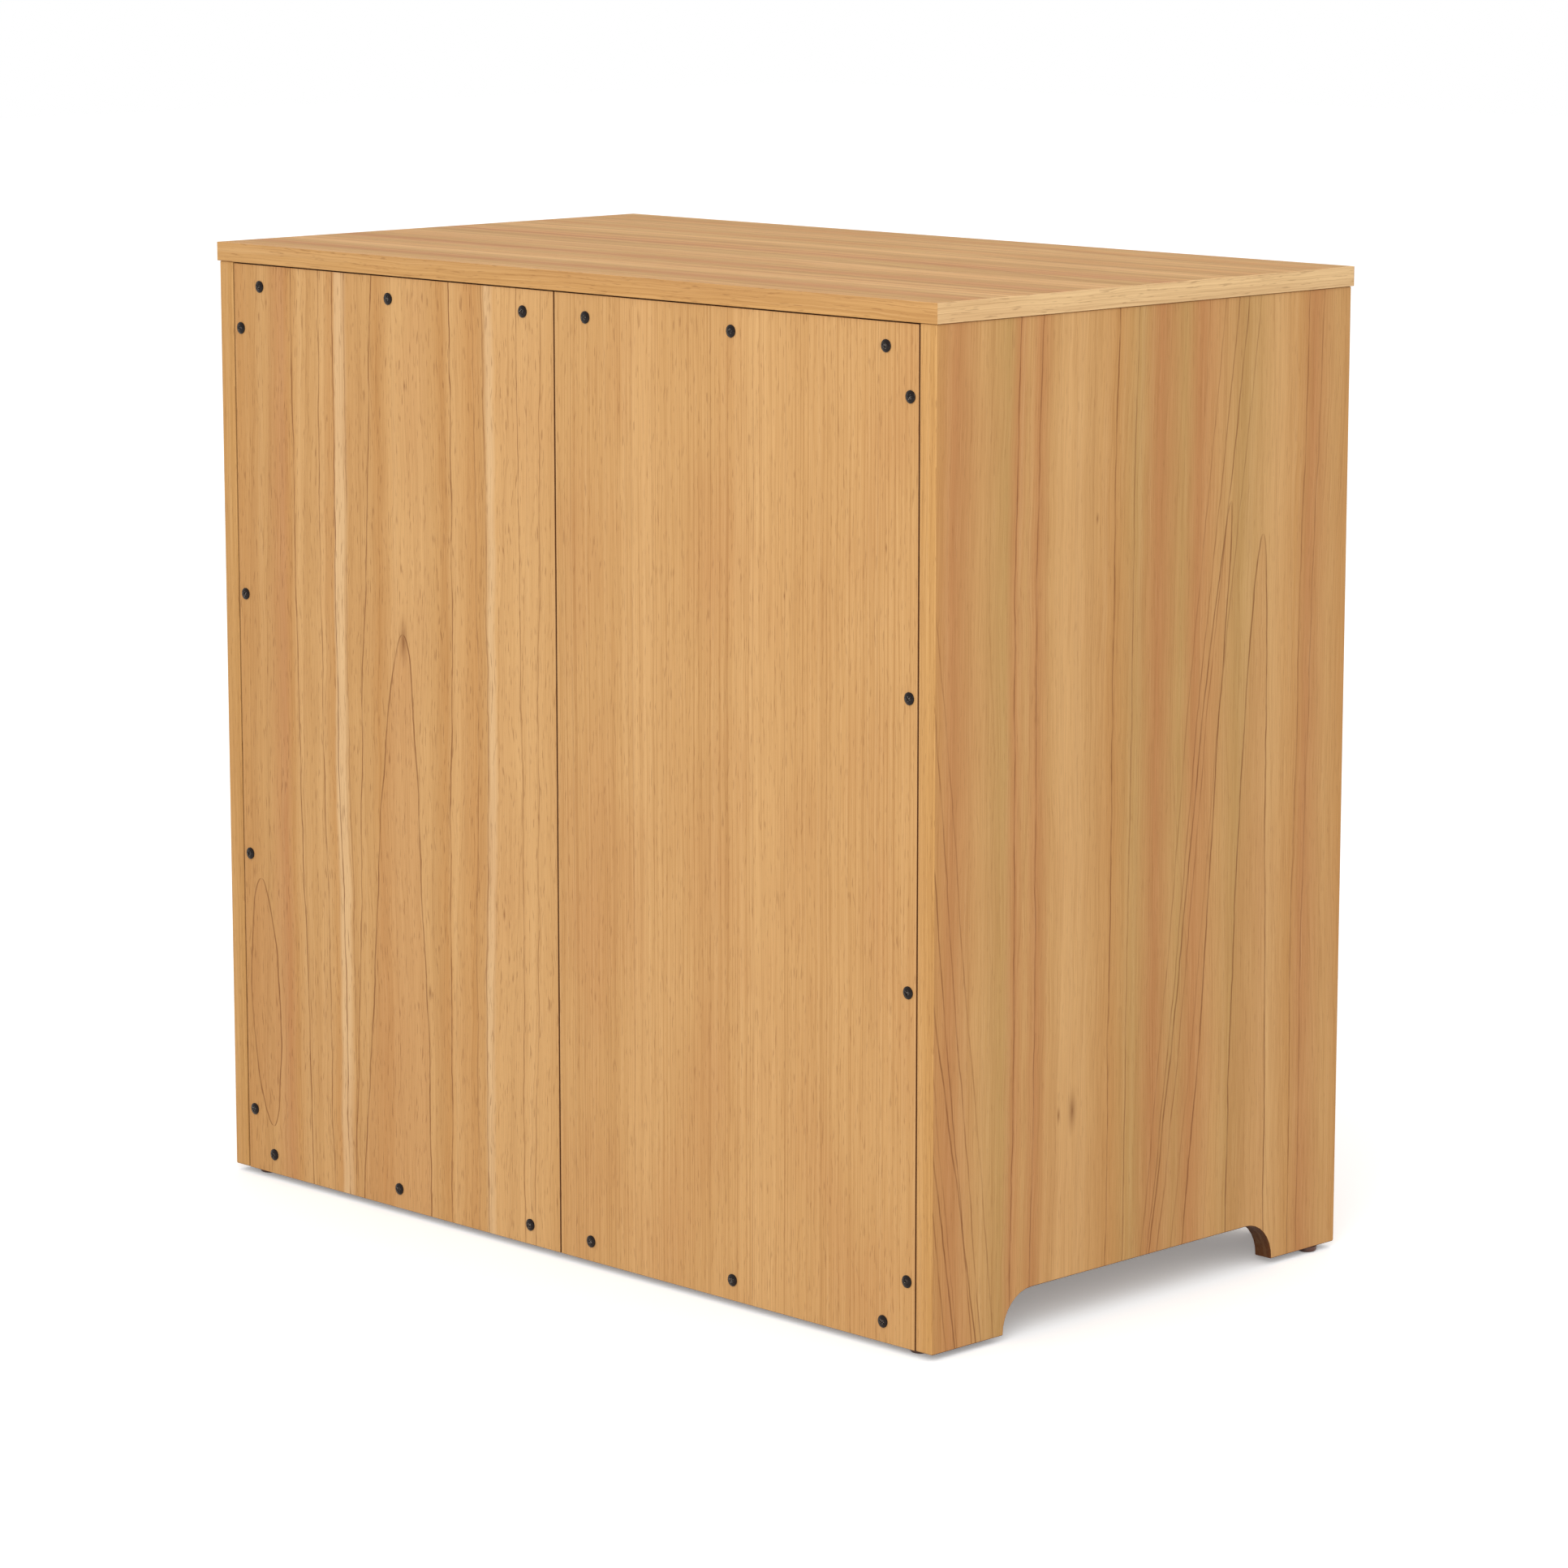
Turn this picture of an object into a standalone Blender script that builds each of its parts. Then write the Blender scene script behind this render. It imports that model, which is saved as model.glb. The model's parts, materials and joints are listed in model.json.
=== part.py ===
"""Icebox-style wooden cabinet with three framed doors, surface hinges and lever latches.

Units are metres, +Z is up, -Y is the front and +X is the right-hand side seen from the front.
The origin is on the floor, under the centre of the overall box.
"""

import math

import bmesh
import bpy
from mathutils import Vector

# ---------------------------------------------------------------- driving dimensions
BODY_W = 0.797  # outside of one side board to the outside of the other
BODY_D = 0.455  # front edge to back edge of a side board
TOTAL_H = 0.767  # floor to the upper face of the top
TOP_T = 0.015
TOP_OVERHANG = 0.0015
SIDE_T = 0.016
BOARD_T = 0.016  # bottom, partition and shelves
SEAT = 0.0003  # gap between two pieces that touch

GLIDE_H = 0.005
GLIDE_R = 0.0078
GLIDE_FLAT_R = 0.0052
GLIDE_FRONT_INSET = 0.023  # from the front edge to a front glide's centre

FOOT_W = 0.076  # foot left beside the arch
ARCH_R = 0.031  # the arch's corner radius, which is also its height
ARCH_STEPS = 8

BACK_T = 0.005
BACK_RECESS = 0.0005
BACK_SIDE_GAP = 0.0012
BACK_SEAM_GAP = 0.001
BACK_TOP_GAP = 0.001

BATTEN = 0.018  # square rear battens, and the rear rails' thickness
REAR_TOP_RAIL_H = 0.036
REAR_BASE_RAIL_H = 0.032

FRAME_T = 0.018  # face frame thickness
STILE_W = 0.034
CENTRE_STILE_W = 0.046
STOP_T = 0.008  # the centre stile's back flange, which stops all three doors
STOP_LAP = 0.008
TOP_RAIL_H = 0.040
MID_RAIL_H = 0.040
BASE_RAIL_H = 0.062
ICE_OPENING_H = 0.210

DOOR_T = 0.018
DOOR_GAP = 0.002
DOOR_MEMBER_W = 0.058
GROOVE_W = 0.008
GROOVE_DEPTH = 0.008
PANEL_RAISE = 0.0035
PANEL_BEVEL = 0.030

SHELF_SIDE_GAP = 0.0005
UPPER_SHELF_SHARE = 0.66  # heights of the two loose shelves, as shares of the tall bay
LOWER_SHELF_SHARE = 0.34

HINGE_H = 0.050
HINGE_REACH = 0.030  # from the pin to a leaf's far edge
HINGE_CORNER = 0.008
LEAF_T = 0.0025
KNUCKLE_R = 0.0035
KNUCKLE_END = 0.012  # length of each of the frame leaf's two knuckles
KNUCKLE_GAP = 0.0004
PIN_R = 0.0015
PIN_CLEARANCE = 0.0003
PIN_HEAD_R = 0.0028
PIN_HEAD_H = 0.0020
LEAF_CLEARANCE = 0.0004  # between a leaf's edge and the other leaf's knuckles
HINGE_END_ICE = 0.038  # from a door's end to its hinge's centre
HINGE_END_LOWER = 0.060
HINGE_END_TALL = 0.075

LATCH_PIVOT_U = -0.005  # pivot, from the door's free edge towards the keeper
LATCH_PIVOT_V = 0.014  # pivot, out of the door's face
LATCH_HUB_R = 0.005
LATCH_BASE_L = 0.040
LATCH_BASE_END = 0.0025
LATCH_BASE_H = 0.026
LATCH_BASE_T = 0.0027
LATCH_EAR_IN = 0.0070  # inner face of each ear, from the latch's middle
LATCH_EAR_T = 0.0032
LATCH_PIN_R = 0.0018
LATCH_PIN_HEAD_R = 0.0030
LATCH_PIN_HEAD_H = 0.0015
LEVER_CLEARANCE = 0.0003
LEVER_LENGTH = 0.050  # pivot to the handle's tip
LEVER_RISE = 0.007  # highest point of the handle, above the pivot
LEVER_T = 0.0045
TONGUE_REACH = 0.010
TONGUE_DROP = 0.0080
KEEPER_CLEARANCE = 0.0005  # between the tongue's tip and the keeper's lip
KEEPER_L = 0.0245
KEEPER_H = 0.022
KEEPER_T = 0.0025
KEEPER_RISE = 0.0135

ROUND_SIDES = 16

# ---------------------------------------------------------------- derived places
LATCH_PROUD = LATCH_PIVOT_V + LEVER_RISE
OVERALL_D = LATCH_PROUD + BODY_D + TOP_OVERHANG
FRONT_Y = LATCH_PROUD - OVERALL_D / 2  # the face frame's and the doors' front plane
BACK_Y = FRONT_Y + BODY_D
FOOT_Z = GLIDE_H
TOP_Z = TOTAL_H - TOP_T
SIDE_X = BODY_W / 2
INNER_X = SIDE_X - SIDE_T
CARCASS_Z = TOP_Z - SEAT  # upper end of everything under the top

BACK_OUT_Y = BACK_Y - BACK_RECESS
BACK_IN_Y = BACK_OUT_Y - BACK_T
BATTEN_BACK_Y = BACK_IN_Y - SEAT
BATTEN_FRONT_Y = BATTEN_BACK_Y - BATTEN
BATTEN_X = INNER_X - SEAT - BATTEN  # inner face of a batten

FRAME_BACK_Y = FRONT_Y + FRAME_T
STOP_BACK_Y = FRAME_BACK_Y + SEAT + STOP_T
FRAME_X = INNER_X - SEAT
OPENING_OUT_X = FRAME_X - STILE_W
OPENING_IN_X = CENTRE_STILE_W / 2
BASE_RAIL_Z = FOOT_Z + BASE_RAIL_H
TOP_RAIL_Z = CARCASS_Z - TOP_RAIL_H
MID_RAIL_TOP_Z = TOP_RAIL_Z - ICE_OPENING_H
MID_RAIL_Z = MID_RAIL_TOP_Z - MID_RAIL_H
BOTTOM_Z = FOOT_Z + REAR_BASE_RAIL_H + SEAT
FLOOR_Z = BOTTOM_Z + BOARD_T  # upper face of the bottom board

HINGE_AXIS_Y = FRONT_Y - SEAT - KNUCKLE_R


# ---------------------------------------------------------------- scene, materials, placing
def clear_scene():
    for item in list(bpy.data.objects):
        bpy.data.objects.remove(item)


def material(name, colour, roughness, metallic=0.0):
    made = bpy.data.materials.new(name)
    made.use_nodes = True
    shader = made.node_tree.nodes["Principled BSDF"]
    shader.inputs["Base Color"].default_value = (*colour, 1.0)
    shader.inputs["Roughness"].default_value = roughness
    shader.inputs["Metallic"].default_value = metallic
    return made


def world_place(item):
    """World position of an object that is only ever moved, never turned."""
    place = Vector(item.location)
    while item.parent:
        item = item.parent
        place += item.location
    return place


def add_object(name, mesh, finish, place=(0, 0, 0), parent=None):
    """Links a mesh as a named object whose own origin lies at the world point place."""
    item = bpy.data.objects.new(name, mesh)
    bpy.context.scene.collection.objects.link(item)
    if finish:
        mesh.materials.append(finish)
    item.location = Vector(place)
    if parent:
        item.parent = parent
        item.location -= world_place(parent)
    return item


def joint_empty(name, place, parent=None):
    item = bpy.data.objects.new(name, None)
    bpy.context.scene.collection.objects.link(item)
    item.location = Vector(place)
    if parent:
        item.parent = parent
        item.location -= world_place(parent)
    return item


# ---------------------------------------------------------------- shapes
def mesh_from(builder, name):
    """Runs builder on a new bmesh, points its faces outwards and returns the mesh."""
    work = bmesh.new()
    builder(work)
    bmesh.ops.recalc_face_normals(work, faces=work.faces)
    mesh = bpy.data.meshes.new(name)
    work.to_mesh(mesh)
    work.free()
    return mesh


def box_mesh(name, size):
    def build(work):
        bmesh.ops.create_cube(work, size=1.0)
        bmesh.ops.scale(work, vec=size, verts=work.verts)

    return mesh_from(build, name)


def prism_mesh(name, outline, depth, to_space):
    """Extrudes a 2-D outline from -depth/2 to +depth/2; to_space turns (a, b, c) into x, y, z."""

    def build(work):
        ring = [work.verts.new(to_space(a, b, -depth / 2)) for a, b in outline]
        face = work.faces.new(ring)
        grown = bmesh.ops.extrude_face_region(work, geom=[face])["geom"]
        moved = [item for item in grown if isinstance(item, bmesh.types.BMVert)]
        shift = Vector(to_space(0, 0, depth)) - Vector(to_space(0, 0, 0))
        bmesh.ops.translate(work, vec=shift, verts=moved)

    return mesh_from(build, name)


def turned_mesh(name, profile, sides=ROUND_SIDES):
    """Spins a profile of (radius, height) points about Z; its first and last radius are 0."""

    def build(work):
        points = [work.verts.new((radius, 0, height)) for radius, height in profile]
        edges = [work.edges.new(pair) for pair in zip(points, points[1:])]
        bmesh.ops.spin(
            work,
            geom=points + edges,
            axis=(0, 0, 1),
            cent=(0, 0, 0),
            dvec=(0, 0, 0),
            angle=2 * math.pi,
            steps=sides,
            use_merge=True,
        )
        bmesh.ops.remove_doubles(work, verts=work.verts, dist=1e-6)

    mesh = mesh_from(build, name)
    mesh.shade_smooth()
    mesh.set_sharp_from_angle(angle=math.radians(35))
    return mesh


def rod_mesh(name, radius, length, sides=ROUND_SIDES):
    profile = [(0, length / 2), (radius, length / 2), (radius, -length / 2), (0, -length / 2)]
    return turned_mesh(name, profile, sides)


def flat(a, b, c):
    """Outline seen from above: u along X, v along Y, depth along Z."""
    return (a, b, c)


def side_on(a, b, c):
    """Outline seen from the side: first along Y, second along Z, depth along X."""
    return (c, a, b)


def face_on(a, b, c):
    """Outline seen from the front: first along X, second along Z, depth along Y."""
    return (a, c, b)


def arc(centre_a, centre_b, radius, start, end, steps):
    """Points on an arc from start to end, in degrees."""
    turns = [math.radians(start + (end - start) * i / steps) for i in range(steps + 1)]
    return [(centre_a + radius * math.cos(t), centre_b + radius * math.sin(t)) for t in turns]


def arched_outline(half, height, foot):
    """A board on edge, standing on two feet, with an arch between them that has round corners."""
    inner = half - foot
    left = arc(-inner + ARCH_R, 0, ARCH_R, 180, 90, ARCH_STEPS)
    right = arc(inner - ARCH_R, 0, ARCH_R, 90, 0, ARCH_STEPS)
    return [(-half, height), (-half, 0)] + left + right + [(half, 0), (half, height)]


def combine(target, other, operation):
    """Joins other to target, or cuts it away, with an exact Boolean; other isn't a part itself."""
    boolean = target.modifiers.new(operation.lower() + "_" + other.name, "BOOLEAN")
    boolean.operation = operation
    boolean.solver = "EXACT"
    boolean.object = other
    other.hide_render = True
    other.display_type = "WIRE"


def board(name, low, high, finish, parent=None):
    """A plain square-edged board between two corners."""
    low, high = Vector(low), Vector(high)
    return add_object(name, box_mesh(name, high - low), finish, (low + high) / 2, parent)


# ---------------------------------------------------------------- carcass
def build_carcass(veneer):
    top_w = SIDE_X + TOP_OVERHANG
    board(
        "top_panel",
        (-top_w, FRONT_Y - TOP_OVERHANG, TOP_Z),
        (top_w, BACK_Y + TOP_OVERHANG, TOTAL_H),
        veneer,
    )
    outline = arched_outline(BODY_D / 2, CARCASS_Z - FOOT_Z, FOOT_W)
    for name, side in (("left", -1), ("right", 1)):
        mesh = prism_mesh(name + "_side", outline, SIDE_T, side_on)
        place = (side * (SIDE_X - SIDE_T / 2), (FRONT_Y + BACK_Y) / 2, FOOT_Z)
        add_object(name + "_side_panel", mesh, veneer, place)
        x_pair = sorted((side * BACK_SEAM_GAP / 2, side * (INNER_X - BACK_SIDE_GAP)))
        board(
            name + "_back_panel",
            (x_pair[0], BACK_IN_Y, FOOT_Z),
            (x_pair[1], BACK_OUT_Y, TOP_Z - BACK_TOP_GAP),
            veneer,
        )
        x_pair = sorted((side * BATTEN_X, side * (BATTEN_X + BATTEN)))
        board(
            name + "_rear_batten",
            (x_pair[0], BATTEN_FRONT_Y, FOOT_Z),
            (x_pair[1], BATTEN_BACK_Y, CARCASS_Z),
            veneer,
        )
    rail_x = BATTEN_X - SEAT
    rails = (
        ("rear_top_rail", CARCASS_Z - REAR_TOP_RAIL_H, CARCASS_Z),
        ("rear_base_rail", FOOT_Z, FOOT_Z + REAR_BASE_RAIL_H),
    )
    for name, low, high in rails:
        board(name, (-rail_x, BATTEN_FRONT_Y, low), (rail_x, BATTEN_BACK_Y, high), veneer)
    build_bottom(veneer)
    build_partition(veneer)


def build_bottom(veneer):
    """The bottom lies on the rear base rail and is notched round the two battens."""
    notch_x = BATTEN_X - SEAT
    notch_y = BATTEN_FRONT_Y - SEAT
    front, back = FRAME_BACK_Y + SEAT, BATTEN_BACK_Y
    half = [(FRAME_X, front), (FRAME_X, notch_y), (notch_x, notch_y), (notch_x, back)]
    outline = half + [(-x, y) for x, y in reversed(half)]
    mesh = prism_mesh("bottom", outline, BOARD_T, flat)
    add_object("bottom_panel", mesh, veneer, (0, 0, BOTTOM_Z + BOARD_T / 2))


def build_partition(veneer):
    """The centre partition stands behind the centre stile and is notched under the rear top rail."""
    front, back = STOP_BACK_Y + SEAT, BATTEN_BACK_Y
    low = FLOOR_Z + SEAT
    notch_y = BATTEN_FRONT_Y - SEAT
    notch_z = CARCASS_Z - REAR_TOP_RAIL_H - SEAT
    outline = [
        (front, low),
        (back, low),
        (back, notch_z),
        (notch_y, notch_z),
        (notch_y, CARCASS_Z),
        (front, CARCASS_Z),
    ]
    add_object("centre_partition", prism_mesh("partition", outline, BOARD_T, side_on), veneer)


def build_shelves(veneer):
    """A fixed shelf under the ice compartment, and two loose shelves in the tall bay.

    The fixed shelf meets the mid rail and is notched round the centre stile's flange.
    """
    half = BOARD_T / 2
    front, back = STOP_BACK_Y + SEAT, BATTEN_FRONT_Y - SEAT
    rail_y = FRAME_BACK_Y + SEAT
    notch_x = -OPENING_IN_X - STOP_LAP - SEAT
    inner_x = -half - SEAT
    outline = [(-FRAME_X, rail_y), (notch_x, rail_y), (notch_x, front), (inner_x, front)]
    outline += [(inner_x, back), (-FRAME_X, back)]
    ice_z = (MID_RAIL_Z + MID_RAIL_TOP_Z) / 2
    add_object("ice_shelf", prism_mesh("ice_shelf", outline, BOARD_T, flat), veneer, (0, 0, ice_z))
    bay = CARCASS_Z - FLOOR_Z
    for name, share in (("upper_shelf", UPPER_SHELF_SHARE), ("lower_shelf", LOWER_SHELF_SHARE)):
        z = FLOOR_Z + share * bay
        board(
            name,
            (half + SHELF_SIDE_GAP, front, z - half),
            (INNER_X - SHELF_SIDE_GAP, back, z + half),
            veneer,
        )


def build_face_frame(solid):
    for name, side in (("left", -1), ("right", 1)):
        x_pair = sorted((side * OPENING_OUT_X, side * FRAME_X))
        board(
            name + "_front_stile",
            (x_pair[0], FRONT_Y, FOOT_Z),
            (x_pair[1], FRAME_BACK_Y, CARCASS_Z),
            solid,
        )
    rail_x = OPENING_OUT_X - SEAT
    board(
        "front_top_rail",
        (-rail_x, FRONT_Y, TOP_RAIL_Z),
        (rail_x, FRAME_BACK_Y, CARCASS_Z),
        solid,
    )
    foot = FOOT_W - (SIDE_X - rail_x)
    outline = arched_outline(rail_x, BASE_RAIL_H, foot)
    mesh = prism_mesh("base_rail", outline, FRAME_T, face_on)
    add_object("front_base_rail", mesh, solid, (0, FRONT_Y + FRAME_T / 2, FOOT_Z))
    build_centre_stile(solid)
    board(
        "front_mid_rail",
        (-rail_x, FRONT_Y, MID_RAIL_Z),
        (-OPENING_IN_X - SEAT, FRAME_BACK_Y, MID_RAIL_TOP_Z),
        solid,
    )


def build_centre_stile(solid):
    """A T-shaped upright whose back flange laps behind the free edge of every door."""
    flange_x = OPENING_IN_X + STOP_LAP
    flange_y = FRAME_BACK_Y + SEAT
    half = [(OPENING_IN_X, FRONT_Y), (OPENING_IN_X, flange_y)]
    half += [(flange_x, flange_y), (flange_x, STOP_BACK_Y)]
    outline = half + [(-x, y) for x, y in reversed(half)]
    low, high = BASE_RAIL_Z + SEAT, TOP_RAIL_Z - SEAT
    mesh = prism_mesh("centre_stile", outline, high - low, flat)
    add_object("centre_front_stile", mesh, solid, (0, 0, (low + high) / 2))


def build_glides(plastic):
    """Domed nail-on glides: the front pair under the side boards, the rear pair under the battens."""
    height = GLIDE_H - SEAT
    shoulder = height * 0.45
    curve = [
        (
            GLIDE_FLAT_R + (GLIDE_R - GLIDE_FLAT_R) * math.sin(step * math.pi / 6),
            shoulder * (1 - math.cos(step * math.pi / 6)),
        )
        for step in range(4)
    ]
    profile = [(0, height), (GLIDE_R, height)] + curve[::-1] + [(0, 0)]
    mesh = turned_mesh("glide", profile)
    mesh.materials.append(plastic)
    places = (
        ("front", SIDE_X - SIDE_T / 2, FRONT_Y + GLIDE_FRONT_INSET),
        ("rear", BATTEN_X + BATTEN / 2, BATTEN_BACK_Y - BATTEN / 2),
    )
    for end, x, y in places:
        for name, side in (("left", -1), ("right", 1)):
            add_object(f"{end}_{name}_glide", mesh, None, (side * x, y, 0))


# ---------------------------------------------------------------- doors
def build_door(name, low_x, high_x, low_z, high_z, hinge_end, finishes):
    """One framed door, hung on the outer stile, with its hinges, latch and keeper.

    side is -1 for a door hung on the left and +1 for one hung on the right.
    """
    solid, brass = finishes
    side = -1 if high_x < 0 else 1
    x0, x1 = low_x + DOOR_GAP, high_x - DOOR_GAP
    z0, z1 = low_z + DOOR_GAP, high_z - DOOR_GAP
    hinge_x = (low_x if side < 0 else high_x) - side * DOOR_GAP / 2
    middle_z = (z0 + z1) / 2
    hinge = joint_empty(name + "_hinge_axis", (hinge_x, HINGE_AXIS_Y, middle_z))

    stiles = {"hinge": (x0, x0 + DOOR_MEMBER_W), "latch": (x1 - DOOR_MEMBER_W, x1)}
    if side > 0:
        stiles = {"hinge": stiles["latch"], "latch": stiles["hinge"]}
    for part, (left, right) in stiles.items():
        stile = board(
            f"{name}_{part}_stile",
            (left, FRONT_Y, z0),
            (right, FRONT_Y + DOOR_T, z1),
            solid,
            hinge,
        )
        inner = right if left == x0 else left
        cut_groove(stile, (inner, z0), (inner, z1), hinge)
    rail_x0, rail_x1 = x0 + DOOR_MEMBER_W + SEAT, x1 - DOOR_MEMBER_W - SEAT
    for part, low, high in (("top", z1 - DOOR_MEMBER_W, z1), ("bottom", z0, z0 + DOOR_MEMBER_W)):
        rail = board(
            f"{name}_{part}_rail",
            (rail_x0, FRONT_Y, low),
            (rail_x1, FRONT_Y + DOOR_T, high),
            solid,
            hinge,
        )
        tongue = stub_tongue(f"{name}_{part}_tongue", rail_x0, rail_x1, low, high, hinge)
        combine(rail, tongue, "UNION")
        inner = low if part == "top" else high
        cut_groove(rail, (rail_x0, inner), (rail_x1, inner), hinge)
    edge = DOOR_MEMBER_W - GROOVE_DEPTH + SEAT
    build_panel(name, (x0 + edge, z0 + edge), (x1 - edge, z1 - edge), solid, hinge)

    for part, z in (("upper", z1 - hinge_end), ("lower", z0 + hinge_end)):
        build_hinge(f"{name}_{part}", hinge_x, z, -side, brass, hinge)
    free_x = x1 if side < 0 else x0
    build_latch(name, free_x, middle_z, -side, brass, hinge)


def groove_span():
    """Front and back Y of the groove, which is centred in the door's thickness."""
    middle = FRONT_Y + DOOR_T / 2
    return middle - GROOVE_W / 2, middle + GROOVE_W / 2


def cut_groove(member, start, end, parent):
    """Cuts a groove centred on the line from start to end, given as (x, z), past both its ends."""
    front, back = groove_span()
    along = 0 if start[0] != end[0] else 1
    low, high = [list(min(start, end)), list(max(start, end))]
    across = 1 - along
    reach = 2 * GROOVE_DEPTH
    low[along] -= reach
    high[along] += reach
    low[across] -= GROOVE_DEPTH
    high[across] += GROOVE_DEPTH
    cutter = board(
        member.name + "_groove", (low[0], front, low[1]), (high[0], back, high[1]), None, parent
    )
    combine(member, cutter, "DIFFERENCE")


def stub_tongue(name, rail_x0, rail_x1, low, high, parent):
    """The tongue that stands out of both ends of a rail and fills the stiles' grooves."""
    front, back = groove_span()
    reach = GROOVE_DEPTH
    return board(
        name,
        (rail_x0 - reach, front + SEAT, low),
        (rail_x1 + reach, back - SEAT, high),
        None,
        parent,
    )


def build_panel(name, low, high, solid, parent):
    """A raised panel: flat in the grooves, with a bevel up to a field nearer the front."""
    front, back = groove_span()
    front, back = front + SEAT, back - SEAT
    size = (high[0] - low[0], back - front, high[1] - low[1])

    def build(work):
        bmesh.ops.create_cube(work, size=1.0)
        bmesh.ops.scale(work, vec=size, verts=work.verts)
        shown = min(work.faces, key=lambda face: face.calc_center_median().y)
        margin = GROOVE_DEPTH + SEAT
        for width, rise in ((margin, 0.0), (PANEL_BEVEL, PANEL_RAISE)):
            bmesh.ops.inset_region(work, faces=[shown], thickness=width, use_even_offset=True)
            bmesh.ops.translate(work, vec=(0, -rise, 0), verts=shown.verts)

    place = ((low[0] + high[0]) / 2, (front + back) / 2, (low[1] + high[1]) / 2)
    add_object(name + "_panel", mesh_from(build, name + "_panel"), solid, place, parent)


# ---------------------------------------------------------------- hinges
def leaf_outline(direction, knuckles):
    """A leaf seen from the front, with round far corners and a tab to each of its own knuckles."""
    half = HINGE_H / 2
    root = KNUCKLE_R + LEAF_CLEARANCE
    tab = KNUCKLE_R * 0.3
    corner = HINGE_REACH - HINGE_CORNER
    rim = arc(corner, half - HINGE_CORNER, HINGE_CORNER, 90, 0, 4)
    rim += arc(corner, HINGE_CORNER - half, HINGE_CORNER, 0, -90, 4)
    inner = []
    for low, high in knuckles:
        if low > -half:
            inner.append((root, low))
        inner += [(tab, low), (tab, high)]
        if high < half:
            inner.append((root, high))
    if knuckles[0][0] > -half:
        inner = [(root, -half)] + inner + [(root, half)]
    return [(direction * a, b) for a, b in rim + inner]


def knuckle(name, place, length, parent, brass):
    return add_object(name, rod_mesh(name, KNUCKLE_R, length), brass, place, parent)


def build_hinge(name, x, z, direction, brass, door):
    """direction is +1 where the door lies on the +X side of the pin."""
    half = HINGE_H / 2
    leaf_y = FRONT_Y - SEAT - LEAF_T / 2
    end_low = (-half, -half + KNUCKLE_END)
    end_high = (half - KNUCKLE_END, half)
    middle = (end_low[1] + KNUCKLE_GAP, end_high[0] - KNUCKLE_GAP)

    outline = leaf_outline(-direction, (end_low, end_high))
    mesh = prism_mesh(name + "_frame_leaf", outline, LEAF_T, face_on)
    frame_leaf = add_object(name + "_frame_leaf", mesh, brass, (x, leaf_y, z))
    for label, (low, high) in (("low", end_low), ("high", end_high)):
        place = (x, HINGE_AXIS_Y, z + (low + high) / 2)
        combine(frame_leaf, knuckle(f"{name}_knuckle_{label}", place, high - low, None, None), "UNION")
    top, cap = half + PIN_HEAD_H, half - PIN_HEAD_H / 2
    profile = [(0, top), (PIN_HEAD_R, half + PIN_HEAD_H / 2), (PIN_HEAD_R, cap), (PIN_R, cap)]
    profile += [(radius, -height) for radius, height in reversed(profile)]
    pin = add_object(name + "_pin", turned_mesh(name + "_pin", profile), None, (x, HINGE_AXIS_Y, z))
    combine(frame_leaf, pin, "UNION")

    outline = leaf_outline(direction, (middle,))
    mesh = prism_mesh(name + "_door_leaf", outline, LEAF_T, face_on)
    door_leaf = add_object(name + "_door_leaf", mesh, brass, (x, leaf_y, z), door)
    place = (x, HINGE_AXIS_Y, z + (middle[0] + middle[1]) / 2)
    length = middle[1] - middle[0]
    combine(door_leaf, knuckle(name + "_knuckle_mid", place, length, door, None), "UNION")
    bore = add_object(
        name + "_bore",
        rod_mesh(name + "_bore", PIN_R + PIN_CLEARANCE, HINGE_H),
        None,
        (x, HINGE_AXIS_Y, z),
        door,
    )
    combine(door_leaf, bore, "DIFFERENCE")


# ---------------------------------------------------------------- latches
def lever_outline():
    """The lever seen from above, about its pivot: u towards the keeper, v out of the door.

    A hub, a tongue that reaches down behind the keeper's lip, and a handle that sweeps outwards.
    """
    hub = LATCH_HUB_R
    tip = LEVER_RISE - LEVER_T / 2
    waist = -LEVER_LENGTH * 0.30
    tongue = [
        (hub * 0.55, -hub * 0.80),
        (TONGUE_REACH * 0.62, -TONGUE_DROP),
        (TONGUE_REACH * 0.88, -TONGUE_DROP),
        (TONGUE_REACH, -TONGUE_DROP * 0.82),
        (TONGUE_REACH, -TONGUE_DROP * 0.50),
        (hub * 0.95, hub * 0.15),
    ]
    crown = arc(0, 0, hub, 20, 130, 6)
    back = [(waist, LEVER_T * 0.62), (waist * 1.8, tip + LEVER_T * 0.10)]
    end = arc(-LEVER_LENGTH + LEVER_T / 2, tip, LEVER_T / 2, 90, 270, 6)
    under = [(waist * 1.8, tip - LEVER_T * 0.80), (waist, -LEVER_T * 0.38)]
    return tongue + crown + back + end + under + arc(0, 0, hub, 215, 270, 3)


def ear_outline():
    """One ear seen from above, about the pivot: a round eye on a foot that widens to the base."""
    foot_v = LATCH_BASE_T / 2 + SEAT - LATCH_PIVOT_V
    toe_u = -LATCH_PIVOT_U - LATCH_BASE_END
    eye = arc(0, 0, LATCH_HUB_R, 0, 180, 8)
    return eye + [(-LATCH_HUB_R * 2.2, foot_v), (toe_u, foot_v), (toe_u, -LATCH_HUB_R)]


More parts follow.
